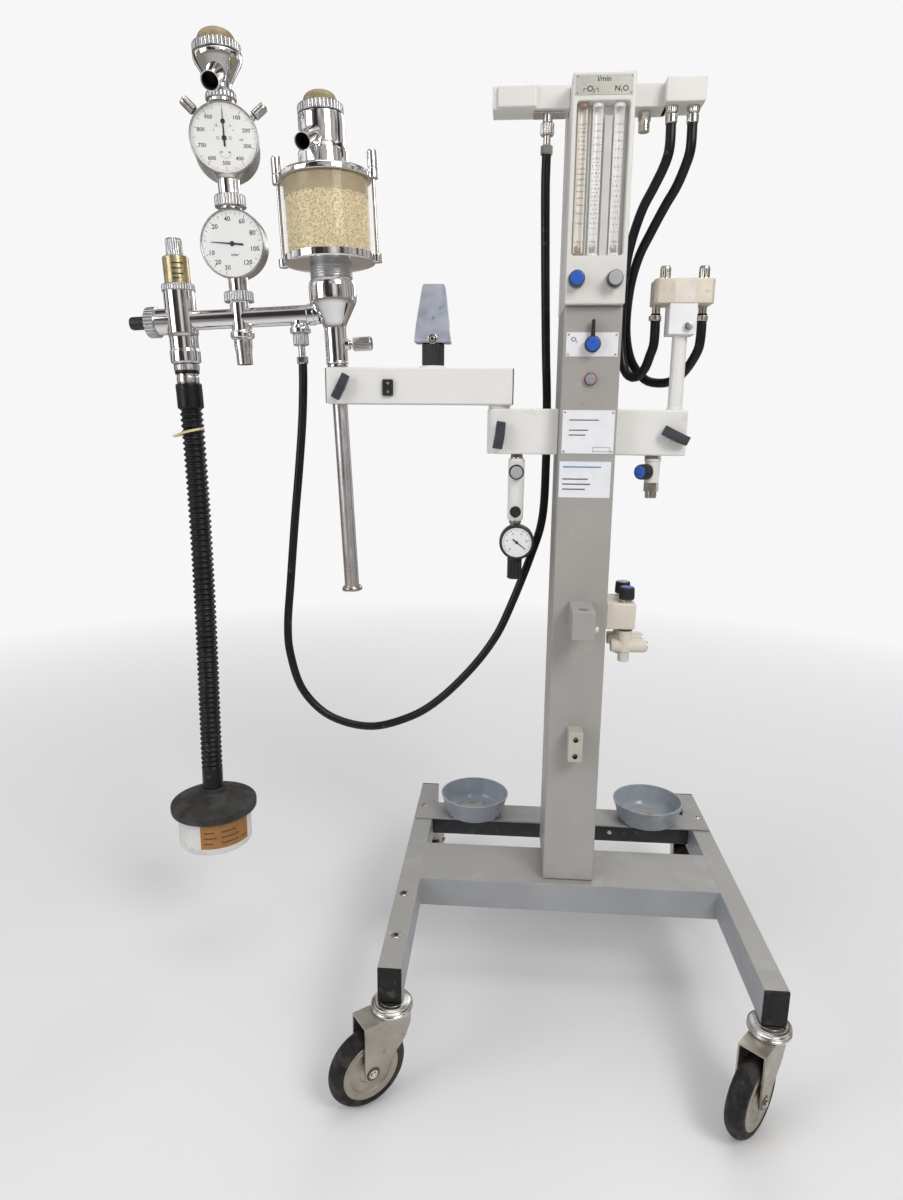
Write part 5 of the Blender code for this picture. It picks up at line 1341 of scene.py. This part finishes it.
def absorber():
    collar = looks("post_collar", "cream_paint", "post_collar", LEAN)
    collar.turn(NICKEL, "14.2,-55 14.2,0.6 16.5,1 16.5,5.2 12.8,5.4 12.8,-55", ring=True, soft=0.5)
    collar.made()
    post = looks("absorber_post", "chrome_metal", "absorber", LEAN)
    post.turn(POST_TUBE, "12.2,-364 12.2,6", sides=64)
    post.turn(NICKEL, "16,-371 17.2,-370 17.2,-365.5 15,-363", sides=64, soft=1)
    post.turn(CHROME, "12.2,5.8 18.2,6 18.2,9 17.6,9.6 17.6,60 18.6,65.5 21.5,71.5 34.5,96 37.2,102 37.8,108 "
        "37.8,127 35.2,134.5 32,136.5", sides=96, soft=3.5)
    thread = [(32, 136)]
    for turn in range(5):
        z = 137.2 + turn * 3.8
        thread += [(32.6, z), (33.4, z + 0.6), (33.4, z + 2.6), (32.6, z + 3.2)]
    post.turn(FLUTED, [*thread, (32.6, 157)], sides=80, soft=0.4)
    post.turn(CHROME, [(33, 156.2), (64, 157.6), (70.6, 158.8), (72, 160.6), (72, GLASS_LOW - 0.3)], sides=96)
    for side in (-1, 1):
        x = side * ROD_X
        post.turn(CHROME, [(7, 157.5), (8, 158.5), (8, GLASS_LOW - 1), (6.8, GLASS_LOW)], (x, 0, 0))
        post.rod(DULL_CHROME, (x, 0, 165), (x, 0, GLASS_HIGH + 2), 3, 32)
    post.turn(CHROME, "8.5,12 8.5,22.5 6.6,24", (0, 0, 36), X_AXIS)
    post.made()

    thumb = looks("post_thumb_screw", "chrome_metal", "post_thumb_screw", LEAN)
    thumb.turn(CHROME, "4.5,-1 4.5,5", (24.3, 0, 36), X_AXIS)
    thumb.turn(DULL_CHROME, "9.2,4 10.9,5.5 10.9,8,0.8 10.9,30,0.8 10.9,32.5 9.5,34.5", (24.3, 0, 36),
        X_AXIS, flutes=26)
    thumb.made()

    inside = GLASS_RADIUS - 3
    glass = looks("canister_glass", "tube_glass", "absorber", LEAN)
    glass.turn(CANISTER_GLASS, [(inside, GLASS_LOW), (GLASS_RADIUS, GLASS_LOW), (GLASS_RADIUS, GLASS_HIGH),
        (inside, GLASS_HIGH)], sides=96, ring=True, soft=0.5)
    # A darker tan, half-clear band inside the glass, from the top of the lime up to the lid.
    glass.turn(HEADSPACE_BAND, [(inside - 0.6, 254), (inside - 0.2, 254), (inside - 0.2, GLASS_HIGH - 0.5),
        (inside - 0.6, GLASS_HIGH - 0.5)], sides=96, ring=True, soft=0.1)
    glass.made()
    granules(inside - 0.6)

    lid = looks("canister_lid", "chrome_metal", "absorber", LEAN)
    lid.turn(CHROME, [(70, GLASS_HIGH + 0.3), (72, GLASS_HIGH + 1), (72, 286.2), (70.5, 288.8), (66, 291.2),
        (43, 293), (39, 294)], sides=96, soft=1.4)
    for side in (-1, 1):
        x = side * ROD_X
        lid.turn(CHROME, "7.8,279.6 8.4,280.4 8.4,292.5 7,294", (x, 0, 0))
        lid.block(CHROME, (min(x, x - side * 12), -6.5, 280), (max(x, x - side * 12), 6.5, 292), 1.5)
        lid.turn(DULL_CHROME, "6.8,293 7.9,294.5 7.9,317.5 6.2,320", (x, 0, 0))
    lid.made()


def granules(radius):
    """The soda lime: a core with short pellets packed against the glass and over the top."""
    chance = random.Random(7)
    lime = looks("soda_lime", "lime_granules", "absorber", LEAN)
    floor, top = GLASS_LOW + 0.5, 255.5
    # Painted shade: the core's darker lime shows in the gaps between pellets.
    lime.turn(LIME_CORE_SHADE, [(radius - 2.4, floor), (radius - 2.4, top - 2), (30, top)], sides=64, soft=1.5)
    pellets = bmesh.new()

    def pellet(spot, way, length, thick):
        side = way.orthogonal().normalized()
        up = way.cross(side)
        corners = [(side * math.cos(step * math.pi / 3) + up * math.sin(step * math.pi / 3)) * thick
            for step in range(6)]
        bridged(pellets, [[pellets.verts.new(spot + way * length * along + corner * reach)
            for corner in corners] for along, reach in ((-0.5, 0.6), (-0.32, 1), (0.32, 1), (0.5, 0.6))])

    count_round, rows = 96, 26
    for row in range(rows):
        for place in range(count_round):
            angle = 2 * math.pi * (place + 0.5 * (row % 2) + chance.uniform(-0.4, 0.4)) / count_round
            z = floor + 2.5 + (top - floor - 3.5) * row / (rows - 1) + chance.uniform(-1.4, 1.4)
            outward = Vector((math.cos(angle), math.sin(angle), 0))
            spot = outward * (radius - 1.5 - chance.uniform(0, 0.8)) + Z_AXIS * z
            tangent = Vector((-math.sin(angle), math.cos(angle), 0))
            lean = chance.uniform(0, math.pi)
            way = (tangent * math.cos(lean) + Z_AXIS * math.sin(lean)).normalized()
            pellet(spot, way, chance.uniform(3.4, 6.2), 1.25)
    loose_on_top = 700
    for _ in range(loose_on_top):
        angle = chance.uniform(0, 2 * math.pi)
        reach = (radius - 3) * math.sqrt(chance.uniform(0, 1))
        way = Vector((chance.uniform(-1, 1), chance.uniform(-1, 1), chance.uniform(-0.3, 0.3))).normalized()
        spot = Vector((reach * math.cos(angle), reach * math.sin(angle), top + 0.6 + chance.uniform(-1, 1)))
        pellet(spot, way, 5.4, 1.4)
    lime.add(LIME, pellets)
    lime.made()


def check_valve(node, x, profile, ring_low, ring_radius, dome, top, mouth, root, radius):
    """A chrome valve housing with a fluted clamp ring, a gold glass dome and an open nozzle."""
    valve = looks(node, "chrome_metal", "absorber", LEAN)
    valve.turn(CHROME, profile, (x, 0, 0), sides=96, soft=1.8)
    ring_high = ring_low + 14.2
    valve.turn(FLUTED, [(ring_radius - 3, ring_low), (ring_radius, ring_low + 1.2),
        (ring_radius, ring_low + 2.2, 1.9), (ring_radius, ring_high - 2, 1.9),
        (ring_radius - 1.2, ring_high - 0.6), (ring_radius - 5, ring_high)], (x, 0, 0), flutes=34, soft=0.5)
    rise = top - ring_high
    steps = [(dome * math.cos(angle) ** 0.55, ring_high - 0.5 + rise * math.sin(angle) ** 0.85)
        for angle in map(math.radians, range(0, 86, 7))]
    valve.turn(GOLD_GLASS, [*steps, (0.5, top)], (x, 0, 0), sides=80, soft=0)
    valve.turn(CHROME, [(dome + 4, ring_high - 1), (dome + 3, ring_high + 0.8),
        (dome + 0.4, ring_high + 1.2)], (x, 0, 0), sides=80)
    nozzle(valve, root, mouth, radius)
    valve.made()


def check_valves():
    check_valve("expiratory_valve", 0, "38,294.3 39,295 39,319 36.8,324 35.4,328 35,342 35.9,354 35.5,371 "
        "32,372.2", 371.8, 35.4, 26.8, 405.5, (-15.5, -68, 316), (0, 0, 352), 13)
    check_valve("inspiratory_valve", GAUGE_X, "16,416.6 16.8,417.2 16.8,423.5 19.2,427.5 34.8,453.5 37,459 "
        "37,463.5 33,465.2", 464.8, 36.8, 29, 499.5, (GAUGE_X + 4, -56, 409), (GAUGE_X, 0, 448), 14)


def breathing_pipe():
    pipe = looks("breathing_pipe", "chrome_metal", "absorber", LEAN)
    pipe.rod(CHROME, (-290, 0, PIPE_Z), (-23, 0, PIPE_Z), 15.2, 64)
    pipe.turn(CHROME, "15.2,0 16.8,1.5 16.8,11 15.2,12.5", (-43, 0, PIPE_Z), X_AXIS, 64)
    body = "17.2,-13.1 18,-12 18,-4 17.2,-3 17.2,2"
    pipe.turn(DULL_CHROME, body, (RELIEF_X, 0, 0), sides=64)
    pipe.turn(RUBBER, "19,1.4 19.6,2.4 19.6,6 19,6.8", (RELIEF_X, 0, 0), sides=64)
    pipe.turn(FLUTED, "18,6.4 20.4,7 20.4,15,0.6 20.4,16 19,17", (RELIEF_X, 0, 0), flutes=24)
    pipe.turn(CHROME, "19,16.5 24.3,20 24.3,37.8 22.8,40 22.8,60 24.8,65 24.8,131", (RELIEF_X, 0, 0),
        sides=80, soft=1.6)
    pipe.turn(FLUTED, "24.8,130 26.4,131.2 26.4,132,1 26.4,139.5,1 25,141.2 20.5,141.6", (RELIEF_X, 0, 0),
        flutes=32)
    pipe.turn(BRASS, "20.4,141 20.4,182.2 18.5,183.6", (RELIEF_X, 0, 0), sides=64)
    for z, width in ((170, 0.9), (162, 0.7), (154, 0.85), (147.5, 0.5)):
        pipe.add(INK, curved_label((RELIEF_X, 0, z), 20.55, 2.2, -88, -88 + 60 * width))
    pipe.turn(FLUTED, "11.8,183 13.7,184 13.3,186,0.8 13.1,208,0.8 11.5,210.5", (RELIEF_X, 0, 0), flutes=16)
    pipe.turn(CHROME, "20,8 20.6,10 20.6,38.5 20,39.5", (RELIEF_X, 0, PIPE_Z), -X_AXIS, 64)
    pipe.turn(FLUTED, "20,38.5 24.3,39.5 24.3,41,1.6 24.3,54.5,1.6 23,56.2 12,56.6", (RELIEF_X, 0, PIPE_Z),
        -X_AXIS, flutes=24)
    bore = 11.2
    pipe.turn(DULL_CHROME, [(bore, 40), (bore, 12), (12.6, 12), (12.8, 30), (14.6, 42), (14.6, 50)],
        (GAUGE_X, 0, 0), sides=64)
    # Painted shade: a near-black lining inside this bore.
    pipe.turn(PAINTED_HOLE_SHADE, [(bore - 0.1, 13.5), (bore - 0.6, 13.5), (bore - 0.6, 38), (bore - 0.1, 38)],
        (GAUGE_X, 0, 0), ring=True, soft=0.1)
    pipe.turn(CHROME, "16,52 19.2,54.5 19.2,62.5 16,64.5 16,108 17.5,109.2", (GAUGE_X, 0, 0), sides=64,
        soft=1.2)
    pipe.turn(FLUTED, "17.5,108.6 23.6,109.6 23.6,110.8,1.2 23.6,123.2,1.2 22.2,124.5", (GAUGE_X, 0, 0),
        flutes=26)
    tee = "12.5,80 12.5,70 16.8,64.2 16.8,57.5 12.5,56"
    pipe.turn(CHROME, tee, (TEE_X, 0, 0), sides=64, soft=1)
    pipe.turn(FLUTED, "11,56.5 12.6,55.5 12.6,54,1 12.6,39.2,1 11,37.8", (TEE_X, 0, 0), flutes=16)
    pipe.turn(NICKEL, "5.6,38.5 5.6,20", (TEE_X, 0, 0))
    pipe.turn(DULL_CHROME, "8.6,20.5 9.5,19.5 9.5,10.5 8.6,9.2", (TEE_X, 0, 0), sides=6, soft=0.3)
    pipe.made()
    adapter = Piece("hose_adapter", "absorber", "chrome_metal", (), LEAN)
    adapter.turn(DULL_CHROME, "16.6,-12.5 16.6,-16 15.6,-26 17.6,-48", (RELIEF_X, 0, 0), sides=64)
    adapter.made()
    knob = looks("relief_knob", "black_plastic", "relief_knob", LEAN)
    knob.turn(BLACK, "10.5,0 10.5,2 10.2,2.4 10.2,3.2 10.5,3.6 10.5,26.2 9.2,29",
        (RELIEF_X - 56.8, 0, PIPE_Z), -X_AXIS, 64)
    knob.made()


def instrument(piece, z, front, depth, back_radius):
    """A round instrument case that faces the front: bezel, case and recessed white dial."""
    place = (GAUGE_X, front, z)
    piece.turn(RIM_GREY, [(DIAL_RADIUS - 3, 3), (DIAL_RADIUS - 3, 0.4), (DIAL_RADIUS - 1.8, 0),
        (DIAL_RADIUS - 0.4, 0.4), (DIAL_RADIUS, 1.4), (DIAL_RADIUS, 9), (DIAL_RADIUS - 1, 10),
        (DIAL_RADIUS - 1, depth - 6), (back_radius, depth)], place, Y_AXIS, 128, soft=0.7)
    piece.turn(DIAL, [(DIAL_RADIUS - 2.8, 2.2), (DIAL_RADIUS - 2.8, 3.4)], place, Y_AXIS, 96, soft=0.1)


def behind_dial(stem, z, front):
    """A stem with nothing left of it in front of a gauge's face."""
    return carved(stem, block((GAUGE_X - 40, -60, z - DIAL_RADIUS + 0.5),
        (GAUGE_X + 40, front + 6, z + DIAL_RADIUS - 0.5), 0))


def manometer():
    gauge = looks("manometer", "chrome_metal", "absorber", LEAN)
    instrument(gauge, MANOMETER_Z, MANOMETER_FRONT, 35, DIAL_RADIUS - 6)
    middle = (GAUGE_X, MANOMETER_FRONT + DIAL_SUNK, MANOMETER_Z)

    def turn(value):
        return 278 + value * (1.87 if value > 0 else 2.7)

    ticks(gauge, middle, 46.5, [turn(value) for value in range(-30, 121, 10)], 4.2, 0.7)
    ticks(gauge, middle, 46.5, [turn(value) for value in range(-30, 121, 5)], 2.6, 0.4)
    for value in (-30, -20, -10, 20, 40, 60, 80, 100, 120):
        dial_number(gauge, middle, 36.8, turn(value), str(abs(value)), 10)
    gauge.add(FAINT_INK, lettering("mbar", 6.2, facing_front(GAUGE_X + 3, middle[1], MANOMETER_Z - 16.5)))
    for stem in (turned("15,124 15.8,125 15.8,148", (GAUGE_X, 3, 0), sides=64),
            turned("17,238 17,250.3 19,250.8", (GAUGE_X, 0, 0), sides=64)):
        gauge.add(CHROME, behind_dial(stem, MANOMETER_Z, MANOMETER_FRONT))
    gauge.turn(FLUTED, "20,250.3 24.5,251.2 24.5,252.4,1.3 24.5,266.2,1.3 23,267.6", (GAUGE_X, 0, 0),
        flutes=26)
    gauge.made()
    needle("manometer_pointer", MANOMETER_Z, MANOMETER_FRONT, 35, 18, -83, False)


def volumeter():
    meter = looks("volumeter", "chrome_metal", "absorber", READER)
    instrument(meter, VOLUMETER_Z, VOLUMETER_FRONT, 68, DIAL_RADIUS - 10)
    middle = (GAUGE_X, VOLUMETER_FRONT + DIAL_SUNK, VOLUMETER_Z)
    ticks(meter, middle, 47.8, range(0, 360, 36), 7.5, 0.6)
    ticks(meter, middle, 47.8, range(18, 360, 36), 5.5, 0.5)
    ticks(meter, middle, 47.8, [angle / 10 for angle in range(0, 3600, 36)], 2.8, 0.3)
    for step in range(1, 10):
        dial_number(meter, middle, 35.6, 36 * step, f"{step * 100}", 8)
    small = (middle[0], middle[1], middle[2] + 24)
    ticks(meter, small, 10.5, range(0, 360, 36), 1.6, 0.35, FAINT_INK)
    for x, z, text, size in ((-11, 17, "10", 5), (10.5, 17, "5", 5), (-14.5, 10.8, "9", 3.6),
            (14.5, 10.8, "6", 3.6)):
        meter.add(INK, lettering(text, size, facing_front(GAUGE_X + x, middle[1], VOLUMETER_Z + z)))
    meter.add(FAINT_INK, lettering("ml", 5.8, facing_front(GAUGE_X + 25.5, middle[1], VOLUMETER_Z - 2)))
    for x in (-9.5, 9.5):
        meter.turn(FAINT_INK, "2.4,-0.2 2.4,0.1 1.7,0.1 1.7,-0.2", (GAUGE_X + x, middle[1], VOLUMETER_Z),
            FORWARD, 32, ring=True, soft=0.1)
    arc = [(GAUGE_X + 8.5 * math.cos(math.radians(a)), VOLUMETER_Z - 20 + 8.5 * math.sin(math.radians(a)))
        for a in range(180, 361, 20)]
    meter.add(FAINT_INK, swept([(x, middle[1], z) for x, z in arc], lambda gone, length: 0.25, 8))
    for x in (-7.5, 4.5):
        meter.block(INK, (GAUGE_X + x, middle[1] - 0.2, VOLUMETER_Z - 20.6),
            (GAUGE_X + x + 3, middle[1] + 0.2, VOLUMETER_Z - 19), 0)
    for stem in (turned("16.5,268 17,269 17,290 23,300 23,305", (GAUGE_X, 0, 0), sides=64, soft=1.6),
            turned("20,390 20,402.8 21.2,403.4", (GAUGE_X, 0, 0), sides=64)):
        meter.add(CHROME, behind_dial(stem, VOLUMETER_Z, VOLUMETER_FRONT))
    meter.turn(FLUTED, "21.5,402.6 23.5,403.6 23.5,404.4,1.2 23.5,410,1.2 22.2,412.2 19.6,416.2",
        (GAUGE_X, 0, 0), flutes=18)
    for name, degrees in (("volumeter_button_left", 134), ("volumeter_button_right", 40)):
        way = Vector((math.cos(math.radians(degrees)), 0, math.sin(math.radians(degrees))))
        centre = Vector((GAUGE_X, 10, VOLUMETER_Z))
        meter.rod(DULL_CHROME, centre + way * 47, centre + way * 60, 5, 32)
        button = looks(name, "chrome_metal", name, READER)
        button.turn(DULL_CHROME, "5.4,5 5.4,0 7,0 7.8,1 7.8,18.5 7.6,19 7.6,20 7.8,20.5 6.8,22.5", centre
            + way * 61.8, way, 56)
        button.made()
    meter.made()
    needle("volumeter_pointer", VOLUMETER_Z, VOLUMETER_FRONT, 40, 12, 0, True, READER)


def needle(node, z, front, reach, tail, degrees, with_disc, place=LEAN):
    """A pointer on its hub, just in front of the dial; clockwise degrees from the top."""
    y = front + DIAL_SUNK + 0.2
    pointer = looks(node, "black_plastic", node, place)
    blade = prism([(GAUGE_X - 1.5, z - tail), (GAUGE_X + 1.5, z - tail), (GAUGE_X + 1.3, z),
        (GAUGE_X + 0.4, z + reach), (GAUGE_X - 0.4, z + reach), (GAUGE_X - 1.3, z)], y - 1.2, 0.7, 0.1)
    by = turn_about((GAUGE_X, y, z), "Y", degrees)
    pointer.add(INK, blade, by=by)
    pointer.turn(INK, "3.8,0 3.8,1.3 2.5,1.8", (GAUGE_X, y, z), FORWARD, 40, soft=0.2, by=by)
    if with_disc:
        pointer.turn(INK, "3.4,0.4 3.4,1.3", (GAUGE_X, y, z + 23.5), FORWARD, 40, soft=0.1, by=by)
    pointer.made()


POST_TUBE = finish("post_tube_steel", (0.76, 0.76, 0.78), 0.3, metallic=1, shade=0.1, grain=40, bump=0.04,
    stretch=(1, 1, 0.25), marks=[((0.33, 0.3, 0.27), 60, 0.62, 0.5)])
CANISTER_GLASS = finish("canister_glass", (0.88, 0.72, 0.48), 0.05, shade=0.05, alpha=0.13, ior=1.6)
# A darker tan, half-clear band for the inside of the glass above the lime.
HEADSPACE_BAND = finish("darker_headspace_glass", (0.52, 0.45, 0.3), 0.5, shade=0.1, grain=60, alpha=0.55)
absorber()
check_valves()
breathing_pipe()
manometer()
volumeter()
